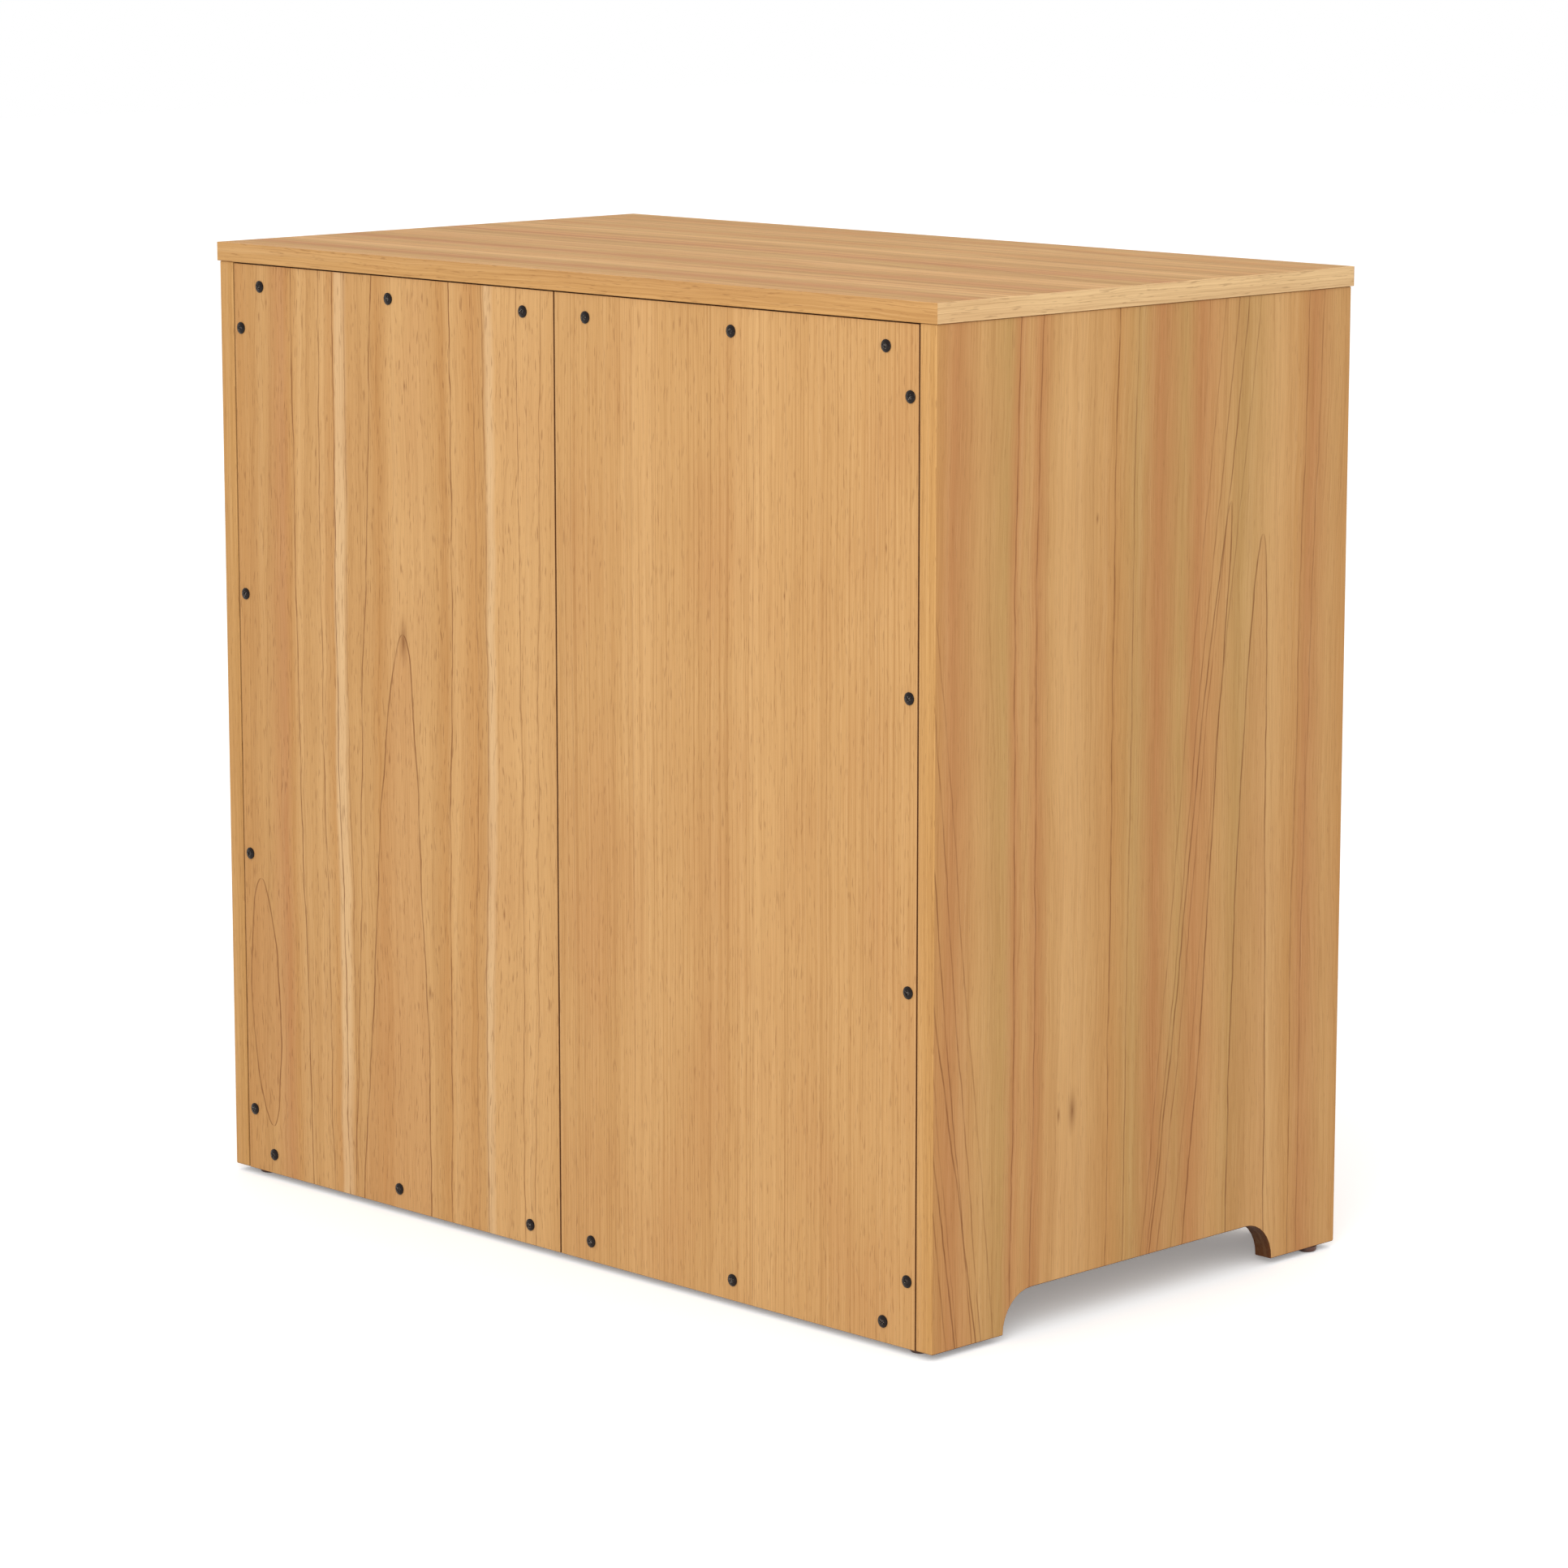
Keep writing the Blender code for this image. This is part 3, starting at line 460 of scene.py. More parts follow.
def screw_material(name, black, painted_glint_steel):
    """Black-lacquered steel: nearly black with a tight highlight, and painted glints of bare steel round the
    recess.

    The grain attribute of a head is its distance from the middle of its seat.
    """
    made, tree, shader = new_material(name, IOR=LACQUER_IOR, Specular_IOR_Level=0.2)
    place = add(tree, "TexCoord").outputs["Object"]
    lacquer_and_glint_noise = add(tree, "TexNoise", {0: place, "Scale": 1 / (0.7 * MM), "Detail": 3.0})
    browned = add(tree, "MapRange", (lacquer_and_glint_noise, 0.5, 0.8, 0.0, 0.5))
    lacquer = add(tree, "Mix", {0: browned, 6: linear(black), 7: linear("2E170D")}, data_type="RGBA")
    offset = add(tree, "Attribute", attribute_name="grain").outputs["Vector"]
    level = add(tree, "VectorMath", (offset, (1.0, 0.0, 1.0)), operation="MULTIPLY")
    away = add(tree, "VectorMath", (level,), operation="LENGTH").outputs["Value"]
    # Patches of bare metal round the cross recess are painted glints, standing in for highlights, not wear
    # from the driver.
    recess = add(tree, "MapRange", (away, 2.4 * MM, 1.7 * MM))
    patches = add(tree, "MapRange", (lacquer_and_glint_noise, 0.55, 0.62))
    painted_glints = add(tree, "Math", (recess, patches), operation="MULTIPLY")
    colour = add(tree, "Mix", {0: painted_glints, 6: lacquer, 7: linear(painted_glint_steel)}, data_type="RGBA")
    rough = add(tree, "Math", (lacquer_and_glint_noise, 0.16, 0.06), operation="MULTIPLY_ADD")
    fill(tree, shader, {"Base Color": colour, "Metallic": painted_glints, "Roughness": rough})
    return made


def plastic_material(name, tone, shade):
    """Moulded polyethylene glide: red-brown, softly glossy, with a fine moulded grain."""
    made, tree, shader = new_material(name, IOR=LACQUER_IOR)
    place = add(tree, "TexCoord").outputs["Object"]
    grit = add(tree, "TexNoise", {0: place, "Scale": 1 / (0.65 * MM), "Detail": 2.0})
    speckle = add(tree, "MapRange", (grit, 0.4, 0.7, 0.0, 0.5))
    colour = add(tree, "Mix", {0: speckle, 6: linear(tone), 7: linear(shade)}, data_type="RGBA")
    bump = add(tree, "Bump", {"Strength": 0.3, "Distance": 0.04 * MM, "Height": grit})
    rough = add(tree, "Math", (grit, 0.2, 0.3), operation="MULTIPLY_ADD")
    fill(tree, shader, {"Base Color": colour, "Normal": bump, "Roughness": rough})
    return made


# ---------------------------------------------------------------- surfaces
def rounded_outline(corners, steps):
    """A closed outline whose corners (a, b, radius) are replaced by arcs; returns points and normals.

    The outline runs anticlockwise. At a corner that turns by t, the arc's centre lies radius off both
    edges, and the normal sweeps from the first edge's outward normal to the second's.
    """
    spots = np.array([corner[:2] for corner in corners], float)
    radii = np.array([corner[2] for corner in corners], float)
    into = spots - np.roll(spots, 1, axis=0)
    into /= np.linalg.norm(into, axis=1)[:, None]
    out = np.roll(into, -1, axis=0)
    turn = np.arctan2(into[:, 0] * out[:, 1] - into[:, 1] * out[:, 0], (into * out).sum(1))
    first = np.stack([into[:, 1], -into[:, 0]], 1)
    side = np.sign(turn)
    back = radii * np.tan(np.abs(turn) / 2)
    centre = spots - into * back[:, None] - first * (radii * side)[:, None]
    sweep = np.linspace(0, 1, steps + 1)[None, :] * turn[:, None]
    cos, sin = np.cos(sweep), np.sin(sweep)
    normals = np.stack(
        [first[:, :1] * cos - first[:, 1:] * sin, first[:, :1] * sin + first[:, 1:] * cos], 2
    )
    points = centre[:, None, :] + normals * (radii * side)[:, None, None]
    return points.reshape(-1, 2), normals.reshape(-1, 2)


def carried_surface(corners, profile, axes, steps=4):
    """An outline carried through the profile's (inset, height) steps and capped at both ends.

    Ring k is the outline moved inwards by inset k, at height k along the third of the axes.
    Returns vertices, faces and each face's outline segment (-1 on the caps).
    """
    points, normals = rounded_outline(corners, steps)
    rings, count = len(profile), len(points)
    inset, height = np.array(profile, float).T
    flat = points[None] - normals[None] * inset[:, None, None]
    vertices = np.zeros((rings, count, 3))
    vertices[:, :, axes[0]] = flat[:, :, 0]
    vertices[:, :, axes[1]] = flat[:, :, 1]
    vertices[:, :, axes[2]] = height[:, None]
    here = np.arange(rings * count).reshape(rings, count)
    over = np.roll(here, -1, axis=1)
    quads = np.stack([here[:-1], over[:-1], over[1:], here[1:]], 2).reshape(-1, 4)
    segment = np.tile(np.arange(count) // (steps + 1), rings - 1)
    faces = [face[::-1].tolist() for face in quads] + [here[0].tolist(), here[-1][::-1].tolist()]
    if (axes[1] - axes[0]) % 3 == 1:
        faces = [face[::-1] for face in faces]
    return vertices.reshape(-1, 3), faces, np.append(segment, (-1, -1))


FIRST_TURN = math.radians(12)  # where an eased edge starts on its quarter round


def eased_profile(low, high, radius, steps=3):
    """Both ends of a board, eased by a quarter round: inset radius (1 - sin t), height radius (1 - cos t)."""
    turn = np.linspace(FIRST_TURN, math.pi / 2, steps + 1)
    inset, rise = radius * (1 - np.sin(turn)), radius * (1 - np.cos(turn))
    rise[0] = 0
    start = np.stack([inset, low + rise], 1)
    return np.concatenate([start, np.stack([inset, high - rise], 1)[::-1]])


def turned_surface(profile, sides, centre, axis=Z):
    """A profile of (radius, height) turned about an axis; radius 0 at both ends is closed by a fan."""
    radius, height = np.array(profile, float)[1:-1].T
    turn = np.arange(sides) * 2 * math.pi / sides
    ring = np.stack([np.cos(turn), np.sin(turn)], 1)
    one, two = [(Y, Z), (Z, X), (X, Y)][axis]
    vertices = np.zeros((len(radius), sides, 3))
    vertices[:, :, one] = radius[:, None] * ring[None, :, 0]
    vertices[:, :, two] = radius[:, None] * ring[None, :, 1]
    vertices[:, :, axis] = height[:, None]
    vertices = vertices.reshape(-1, 3)
    poles = np.zeros((2, 3))
    poles[:, axis] = profile[0][1], profile[-1][1]
    here = np.arange(len(radius) * sides).reshape(len(radius), sides)
    over = np.roll(here, -1, axis=1)
    faces = np.stack([here[:-1], here[1:], over[1:], over[:-1]], 2).reshape(-1, 4).tolist()
    start, end = len(vertices), len(vertices) + 1
    faces += [[start, a, b] for a, b in zip(here[0], over[0])]
    faces += [[end, b, a] for a, b in zip(here[-1], over[-1])]
    return np.concatenate([vertices, poles]) + np.array(centre), faces


def joined(*surfaces):
    """Several surfaces as one."""
    vertices, faces, start = [], [], 0
    for one in surfaces:
        vertices.append(one[0])
        faces += [[index + start for index in face] for face in one[1]]
        start += len(one[0])
    return np.concatenate(vertices), faces


# ---------------------------------------------------------------- pieces
SHARP = math.radians(50)  # a mesh edge that turns by more than this is shaded as a crease


def make_piece(name, surface, materials, body, stands_for=(), places=None, grain=None):
    """Links a surface as a named piece that rides on a body.

    grain is (across, along, through, origin): the axes of the grain and the point it is measured away from.
    """
    mesh = bpy.data.meshes.new(name)
    mesh.from_pydata(surface[0].tolist(), [], surface[1])
    for material in materials:
        mesh.materials.append(material)
    if places is not None:
        mesh.polygons.foreach_set("material_index", np.array(places, np.int32))
    if grain is not None:
        across, along, through, origin = grain
        moved = np.abs(surface[0] - np.array(origin))
        stored = mesh.attributes.new("grain", "FLOAT_VECTOR", "POINT")
        stored.data.foreach_set("vector", moved[:, [across, through, along]].astype(np.float32).ravel())
    work = bmesh.new()
    work.from_mesh(mesh)
    bmesh.ops.recalc_face_normals(work, faces=work.faces)
    work.to_mesh(mesh)
    work.free()
    mesh.shade_smooth()
    mesh.set_sharp_from_angle(angle=SHARP)
    piece = bpy.data.objects.new(name, mesh)
    bpy.context.scene.collection.objects.link(piece)
    weighted = piece.modifiers.new("even_shading", "WEIGHTED_NORMAL")
    weighted.keep_sharp = True
    if stands_for:
        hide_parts(*stands_for)
    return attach(piece, body)


def body_named(node):
    """The body that a CAD node belongs to."""
    return next(body for body, nodes in frame["record"]["behaviour"]["bodies"].items() if node in nodes)


def rectangle(low, high, radius):
    """Corners of an upright rectangle, anticlockwise."""
    (west, south), (east, north) = low[:2], high[:2]
    return [(west, south, radius), (east, south, radius), (east, north, radius), (west, north, radius)]


def arched_outline(low, high, foot, ease, toe):
    """A board on edge that stands on two feet: the space between has a straight top and two round corners."""
    (west, floor), (east, head) = low, high
    crown, bend = floor + ARCH_RISE, ARCH_RISE - ease
    feet = [(west, floor, toe), (west + foot, floor, ease), (west + foot, crown, bend)]
    feet += [(east - foot, crown, bend), (east - foot, floor, ease), (east, floor, toe)]
    return feet + [(east, head, ease), (west, head, ease)]


def scatter(name):
    """A made-up place in the log for each board, so that no two boards show the same figure."""
    seed = sum((index + 1) * ord(letter) for index, letter in enumerate(name))
    return np.array([(seed * 0.137) % 3.1, (seed * 0.211) % 2.3, (seed * 0.173) % 4.7])


def make_board(
    node, along, material, through=None, corners=None, origin=None, cut=None, ease=None
):
    """A board in the place of a CAD node, with eased edges; its outline is drawn square to its thickness.

    corners is the outline where it isn't a rectangle, along the axis of the grain, and cut the material of
    the board's narrow edges where it isn't the face's.
    """
    ease = ease or bpy.context.scene.icebox_wood.arris
    low, high = (np.array(corner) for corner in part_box(node))
    if through is None:
        through = int(np.argmin(high - low))
    one, two = [axis for axis in (X, Y, Z) if axis != through]
    if corners is None:
        corners = rectangle((low[one], low[two]), (high[one], high[two]), ease)
    points, faces, segment = carried_surface(
        corners, eased_profile(low[through], high[through], ease), (one, two, through)
    )
    across = 3 - along - through if along != through else one
    start = low - scatter(node) if origin is None else np.array(origin)
    return make_piece(
        node + "_wood",
        (points, faces),
        [material, cut or material],
        body_named(node),
        (node,),
        (segment >= 0).astype(int),
        (across, along, 3 - across - along, start),
    )


CORE_EASE, TAPE_EASE, BACK_EASE = 0.25 * MM, 0.3 * MM, 0.4 * MM
TOP_LOG = 1.0  # how far beyond the top's left end its grain is measured from


class ICEBOX_OT_finishes(bpy.types.Operator):
    """Makes the materials: veneers, solid wood, edge tape, brass, lacquered steel and plastic."""

    bl_idname = "icebox.finishes"
    bl_label = "Finishes"

    def execute(self, context):
        look = context.scene.icebox_hardware
        sheet_materials()
        brass_material("aged_brass", look.patina, look.brass)
        brass_material("tarnished_brass", look.tarnish, look.patina)
        screw_material("black_lacquered_steel", look.black, look.steel)
        plastic_material("moulded_glide_plastic", look.plastic, look.plastic_shade)
        return {"FINISHED"}


class ICEBOX_OT_carcass(bpy.types.Operator):
    """Makes the top and its edge tape, sides, back panels, battens, rails and inner boards."""

    bl_idname = "icebox.carcass"
    bl_label = "Carcass boards"

    def execute(self, context):
        woods = bpy.data.materials
        look = context.scene.icebox_wood
        self.make_top(look)
        for side in ("left", "right"):
            self.make_side(side + "_side_panel", look)
        sheets = {"right_back_panel": "flat_sawn_back_veneer", "left_back_panel": "quarter_sawn_back_veneer"}
        for node, veneer in sheets.items():
            low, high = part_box(node)
            seam = low if node == "right_back_panel" else high
            # The panels' narrow edges are dark brown, partly painted shade for the seams and the gap under
            # the top.
            cut = woods["stained_cut_edge"]
            make_board(node, Z, woods[veneer], origin=(seam[X], high[Y], 0), cut=cut, ease=BACK_EASE)
        plain = woods["carcass_veneer"]
        for node in ("left_rear_batten", "right_rear_batten"):
            make_board(node, Z, plain, through=Y)
        for node in ("rear_top_rail", "rear_base_rail"):
            make_board(node, X, plain, through=Y)
        for node in ("upper_shelf", "lower_shelf"):
            make_board(node, X, plain)
        self.make_notched(plain, look)
        return {"FINISHED"}

    def make_top(self, look):
        """A veneered core between four strips of edge tape, of which the rear and front ones run through."""
        tape = look.tape_thickness
        low, high = (np.array(corner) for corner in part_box("top_panel"))
        core_low, core_high = low + (tape, tape, 0), high - (tape, tape, 0)
        outline = rectangle(core_low, core_high, CORE_EASE)
        surface = carried_surface(outline, eased_profile(low[Z], high[Z], CORE_EASE), (X, Y, Z))
        make_piece(
            "top_core",
            surface,
            [bpy.data.materials["top_veneer"]],
            "cabinet",
            ("top_panel",),
            grain=(Y, X, Z, (low[X] - TOP_LOG, high[Y], low[Z])),
        )
        strips = {
            "rear": ((low[X], core_high[Y]), (high[X], high[Y]), X),
            "front": ((low[X], low[Y]), (high[X], core_low[Y]), X),
            "left": ((low[X], core_low[Y]), (core_low[X], core_high[Y]), Y),
            "right": ((core_high[X], core_low[Y]), (high[X], core_high[Y]), Y),
        }
        for name, (first, second, along) in strips.items():
            outline = rectangle(first, second, TAPE_EASE)
            strip = carried_surface(outline, eased_profile(low[Z], high[Z], TAPE_EASE), (X, Y, Z))
            tape = bpy.data.materials["edge_tape" if along == X else "end_tape"]
            make_piece(
                f"top_{name}_edge_tape",
                strip,
                [tape],
                "cabinet",
                ("top_panel",),
                grain=(Z, along, X + Y - along, tuple(low - scatter(name + "_tape"))),
            )

    def make_side(self, node, look):
        """A side board on two feet: the space between them has a straight top and two round corners."""
        low, high = (np.array(corner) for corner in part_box(node))
        ease = look.arris
        corners = arched_outline(low[1:], high[1:], ARCH_FOOT, ease, 2 * ease)
        woods = bpy.data.materials
        materials = [woods["side_veneer"], woods["edge_tape"], woods["stained_cut_edge"]]
        profile = eased_profile(low[X], high[X], ease)
        points, faces, segment = carried_surface(corners, profile, (Y, Z, X), steps=8)
        middle = np.array([points[face].mean(0) for face in faces])
        upright = (segment >= 0) & ((middle[:, Y] < low[Y] + ease) | (middle[:, Y] > high[Y] - ease))
        # The arch's cut faces take the dark cut edge, partly painted shade.
        arched = (segment >= 0) & ~upright & (middle[:, Z] < low[Z] + ARCH_RISE + ease)
        places = np.where(upright, 1, np.where(arched, 2, 0))
        grain = (Y, Z, X, (low[X], high[Y], 0))
        make_piece(node + "_wood", (points, faces), materials, "cabinet", (node,), places, grain)

    def make_notched(self, plain, look):
        """The bottom, partition and fixed shelf, cut round the pieces that pass them."""
        ease = look.arris
        low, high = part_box("bottom_panel")
        batten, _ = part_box("right_rear_batten")
        nx, ny = batten[X] - FIT, batten[Y] - FIT
        half = [(low[Y], high[X]), (ny, high[X]), (ny, nx), (high[Y], nx)]
        corners = [(x, y, ease) for y, x in half] + [(-x, y, ease) for y, x in reversed(half)]
        make_board("bottom_panel", X, plain, corners=corners)
        low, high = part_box("centre_partition")
        rail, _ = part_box("rear_top_rail")
        ny, nz = rail[Y] - FIT, rail[Z] - FIT
        corners = [
            (low[Y], low[Z], ease),
            (high[Y], low[Z], ease),
            (high[Y], nz, ease),
            (ny, nz, ease),
            (ny, high[Z], ease),
            (low[Y], high[Z], ease),
        ]
        make_board("centre_partition", Z, plain, corners=corners)
        low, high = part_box("ice_shelf")
        stop_low, stop_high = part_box("centre_front_stile")
        nx, ny = stop_low[X] - FIT, stop_high[Y] + FIT
        corners = [
            (low[X], low[Y], ease),
            (nx, low[Y], ease),
            (nx, ny, ease),
            (high[X], ny, ease),
            (high[X], high[Y], ease),
            (low[X], high[Y], ease),
        ]
        make_board("ice_shelf", X, plain, corners=corners)


class ICEBOX_OT_face_frame(bpy.types.Operator):
    """Makes the stiles and rails of the face frame."""

    bl_idname = "icebox.face_frame"
    bl_label = "Face frame"

    def execute(self, context):
        look = context.scene.icebox_wood
        solid = bpy.data.materials["solid_frame_wood"]
        for node in ("left_front_stile", "right_front_stile"):
            make_board(node, Z, solid, through=Y)
        for node in ("front_top_rail", "front_mid_rail"):
            make_board(node, X, solid, through=Y)
        self.make_centre_stile(solid, look)
        self.make_base_rail(solid, look)
        return {"FINISHED"}

    def make_centre_stile(self, solid, look):
        """A T section: its flange, behind the rails, stops the doors."""
        low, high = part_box("centre_front_stile")
        _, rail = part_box("front_mid_rail")
        face_x = -rail[X] - FIT
        flange_y = rail[Y] + FIT
        ease = look.arris
        corners = [
            (-face_x, low[Y], ease),
            (face_x, low[Y], ease),
            (face_x, flange_y, ease / 2),
            (high[X], flange_y, ease),
            (high[X], high[Y], ease),
            (low[X], high[Y], ease),
            (low[X], flange_y, ease),
            (-face_x, flange_y, ease / 2),
        ]
        make_board("centre_front_stile", Z, solid, through=Z, corners=corners)

    def make_base_rail(self, solid, look):
        """A rail on edge between the stiles, arched like the sides."""
        low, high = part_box("front_base_rail")
        side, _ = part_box("left_side_panel")
        foot = side[X] + ARCH_FOOT - low[X]
        corners = arched_outline((low[X], low[Z]), (high[X], high[Z]), foot, look.arris, look.arris)
        make_board("front_base_rail", X, solid, through=Y, corners=corners)


GROOVE_EASE, INNER_EASE = 0.2 * MM, 1.6 * MM
COVE_STEPS = 7


class ICEBOX_OT_doors(bpy.types.Operator):
    """Makes the doors: grooved stiles and rails round a raised panel."""

    bl_idname = "icebox.doors"
    bl_label = "Doors"

    def execute(self, context):
        look = context.scene.icebox_wood
        solid = bpy.data.materials["solid_frame_wood"]
        for door in DOORS:
            for part in ("hinge_stile", "latch_stile"):
                self.make_stile(f"{door}_{part}", f"{door}_panel", solid, look)
            for part in ("top_rail", "bottom_rail"):
                self.make_rail(f"{door}_{part}", f"{door}_panel", solid, look)
            self.make_panel(door + "_panel", solid)
        return {"FINISHED"}

    def groove(self, panel):
        """Front and back of the groove that a panel's edge sits in."""
        _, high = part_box(panel)
        return high[Y] - PANEL_EDGE - FIT, high[Y] + FIT

    def section(self, low, high, inner, outer, groove, ease):
        """A grooved section: (across, depth) corners, with the groove cut into the inner edge."""
        front, back = groove
        way = 1 if outer > inner else -1
        bottom = inner + way * GROOVE
        corners = [
            (outer, low[Y], ease),
            (outer, high[Y], ease),
            (inner, high[Y], ease),
            (inner, back, ease),
            (bottom, back, GROOVE_EASE),
            (bottom, front, GROOVE_EASE),
            (inner, front, ease),
            (inner, low[Y], INNER_EASE),
        ]
        return corners if way > 0 else corners[::-1]

    def make_stile(self, node, panel, solid, look):
        """A stile's section is drawn in width and depth, and runs its whole height."""
        low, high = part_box(node)
        middle = sum(corner[X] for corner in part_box(panel)) / 2
        inner, outer = sorted((low[X], high[X]), key=lambda x: abs(x - middle))
        corners = self.section(low, high, inner, outer, self.groove(panel), look.arris)
        make_board(node, Z, solid, through=Z, corners=corners)

    def make_rail(self, node, panel, solid, look):
        """A rail's section is drawn in depth and height; its stub tenons fill the stiles' grooves."""
        low, high = (np.array(corner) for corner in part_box(node))
        middle = sum(corner[Z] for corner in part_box(panel)) / 2
        inner, outer = sorted((low[Z], high[Z]), key=lambda z: abs(z - middle))
        groove = self.groove(panel)
        corners = [(y, z, r) for z, y, r in self.section(low, high, inner, outer, groove, look.arris)]
        body_low, body_high = low[X] + GROOVE, high[X] - GROOVE
        profile = eased_profile(body_low, body_high, FIT)
        surface = carried_surface(corners[::-1], profile, (Y, Z, X))
        shoulder = inner + math.copysign(GROOVE, outer - inner)
        foot, head = sorted((shoulder, outer))
        outline = rectangle((groove[0] + FIT, foot), (groove[1] - FIT, head), GROOVE_EASE)
        ends = (low[X], body_low), (body_high, high[X])
        stubs = [carried_surface(outline, eased_profile(*end, GROOVE_EASE / 2), (Y, Z, X)) for end in ends]
        merged = joined(surface, *stubs)
        grain = (Z, X, Y, low - scatter(node))
        make_piece(node + "_wood", merged, [solid], body_named(node), (node,), None, grain)

    def make_panel(self, node, solid):
        """A raised panel: flat in the groove, a cove up to a small step, and a flat field."""
        low, high = (np.array(corner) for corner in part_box(node))
        edge_front = high[Y] - PANEL_EDGE
        ease, step = 0.4 * MM, 1.8 * MM
        margin, bevel = GROOVE + FIT, 30 * MM
        share = np.linspace(0, 1, COVE_STEPS)
        depth = edge_front - (edge_front - low[Y] - step) * share**1.6
        cove = np.stack([margin + bevel * share, depth], 1)
        field = [(margin + bevel, low[Y] + 0.3 * MM), (margin + bevel + ease, low[Y])]
        profile = [(ease, high[Y]), (0, high[Y] - ease), (0, edge_front + ease), (ease, edge_front)]
        profile += cove.tolist() + field
        surface = self.nested(low, high, profile)
        grain = (X, Z, Y, low - scatter(node))
        make_piece(node + "_wood", surface, [solid], body_named(node), (node,), None, grain)

    def nested(self, low, high, profile):
        """Nested rectangles, each inset from the panel's edge, at the profile's depths."""
        inset, depth = np.array(profile, float).T
        west, east = low[X] + inset, high[X] - inset
        foot, head = low[Z] + inset, high[Z] - inset
        corners = (west, foot), (east, foot), (east, head), (west, head)
        ring = np.stack([np.stack([x, depth, z], 1) for x, z in corners], 1)
        here = np.arange(len(inset) * 4).reshape(-1, 4)
        over = np.roll(here, -1, axis=1)
        faces = np.stack([here[:-1], here[1:], over[1:], over[:-1]], 2).reshape(-1, 4).tolist()
        return ring.reshape(-1, 3), faces + [here[0].tolist(), here[-1][::-1].tolist()]


# ---------------------------------------------------------------- hardware
MERGE = 0.01 * MM
FLAT, CORNER = math.radians(1), math.radians(32)  # edges below one are dissolved, above the other rounded
BEVEL_STEPS = 3


def softened_copy(node, name, material, width):
    """A casting: the CAD node's shape, merged into clean faces, with its edges rounded."""
    source = frame["nodes"][node]
    work = bmesh.new()
    work.from_mesh(source.data)
    bmesh.ops.remove_doubles(work, verts=work.verts, dist=MERGE)
    bmesh.ops.dissolve_limit(work, angle_limit=FLAT, verts=work.verts, edges=work.edges)
    mesh = bpy.data.meshes.new(name)
    work.to_mesh(mesh)
    work.free()
    mesh.materials.clear()
    mesh.materials.append(material)
    mesh.polygons.foreach_set("material_index", np.zeros(len(mesh.polygons), np.int32))
    mesh.shade_smooth()
    piece = bpy.data.objects.new(name, mesh)
    bpy.context.scene.collection.objects.link(piece)
    bevel = piece.modifiers.new("rounding", "BEVEL")
    bevel.width = width
    bevel.segments = BEVEL_STEPS
    bevel.limit_method = "ANGLE"
    bevel.angle_limit = CORNER
    bevel.use_clamp_overlap = True
    bevel.harden_normals = True
    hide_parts(node)
    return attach(piece, body_named(node))


DOME_FALL, DOME_POWER = 0.62, 2.6
ARM_HALF, ARM_SLOPE = 0.15, 0.06  # of a cross recess, in head radii
ARM_LENGTH, ARM_END = 0.56, 0.10
RECESS_DEPTH = 0.55
HEAD_RIM = (1.0, 0.12), (0.97, 0.0)  # radius and height where the head meets its seat
HEAD_SIDES, SMALL_HEAD_SIDES = 96, 56


def screw_head(centre, radius, height, turn, sides=HEAD_SIDES):
    """A domed head with a cross recess, facing -Y or +Y by the sign of height.

    Height falls as 1 - DOME_FALL (r/R)^DOME_POWER from the middle, and the recess is cut where the nearer
    of the two cross axes is within an arm's half width, less deep towards the arm's end.
    """
    share = np.concatenate([np.linspace(0.05, 0.66, 18), np.linspace(0.72, 1.0, 8)])
    angle = np.arange(sides) * 2 * math.pi / sides
    u = share[:, None] * np.cos(angle)[None]
    v = share[:, None] * np.sin(angle)[None]
    dome = 1 - DOME_FALL * share[:, None] ** DOME_POWER + 0 * u
    near, far = np.minimum(abs(u), abs(v)), np.maximum(abs(u), abs(v))
    arm = np.clip((ARM_HALF - near) / ARM_SLOPE, 0, 1) * np.clip((ARM_LENGTH - far) / ARM_END, 0, 1)
    rise = dome - arm * RECESS_DEPTH * (1 - 0.5 * far / ARM_LENGTH)
    cos, sin = math.cos(turn), math.sin(turn)
    rings = np.stack([u * cos - v * sin, rise, u * sin + v * cos], 2)
    ring = np.stack([np.cos(angle + turn), np.zeros(sides), np.sin(angle + turn)], 1)
    lower = np.stack([ring * (r, 0, r) + (0, h, 0) for r, h in HEAD_RIM])
    grid = np.concatenate([rings, lower]) * (radius, height, radius)
    vertices = grid.reshape(-1, 3)
    poles = np.array([[0, (1 - RECESS_DEPTH) * height, 0], [0, 0, 0]])
    here = np.arange(len(grid) * sides).reshape(-1, sides)
    over = np.roll(here, -1, axis=1)
    faces = np.stack([here[:-1], over[:-1], over[1:], here[1:]], 2).reshape(-1, 4).tolist()
    top, base = len(vertices), len(vertices) + 1
    faces += [[top, b, a] for a, b in zip(here[0], over[0])]
    faces += [[base, a, b] for a, b in zip(here[-1], over[-1])]
    if height < 0:
        faces = [face[::-1] for face in faces]
    return np.concatenate([vertices, poles]) + np.array(centre), faces


TOP_MARGIN, BASE_MARGIN = 18 * MM, 16 * MM  # from a row to the outer edge of its rail
TALLEST_HEAD = 1.95 * MM
SCREW_ROWS = (35 * MM, 191.5 * MM, 349 * MM)  # off the back's seam, along the rails
SCREW_RUNGS = (55.7 * MM, 270 * MM, 484 * MM, 699.3 * MM)  # above the floor, along the battens
LIFT = 0.02 * MM  # of a back screw's seat off the veneer


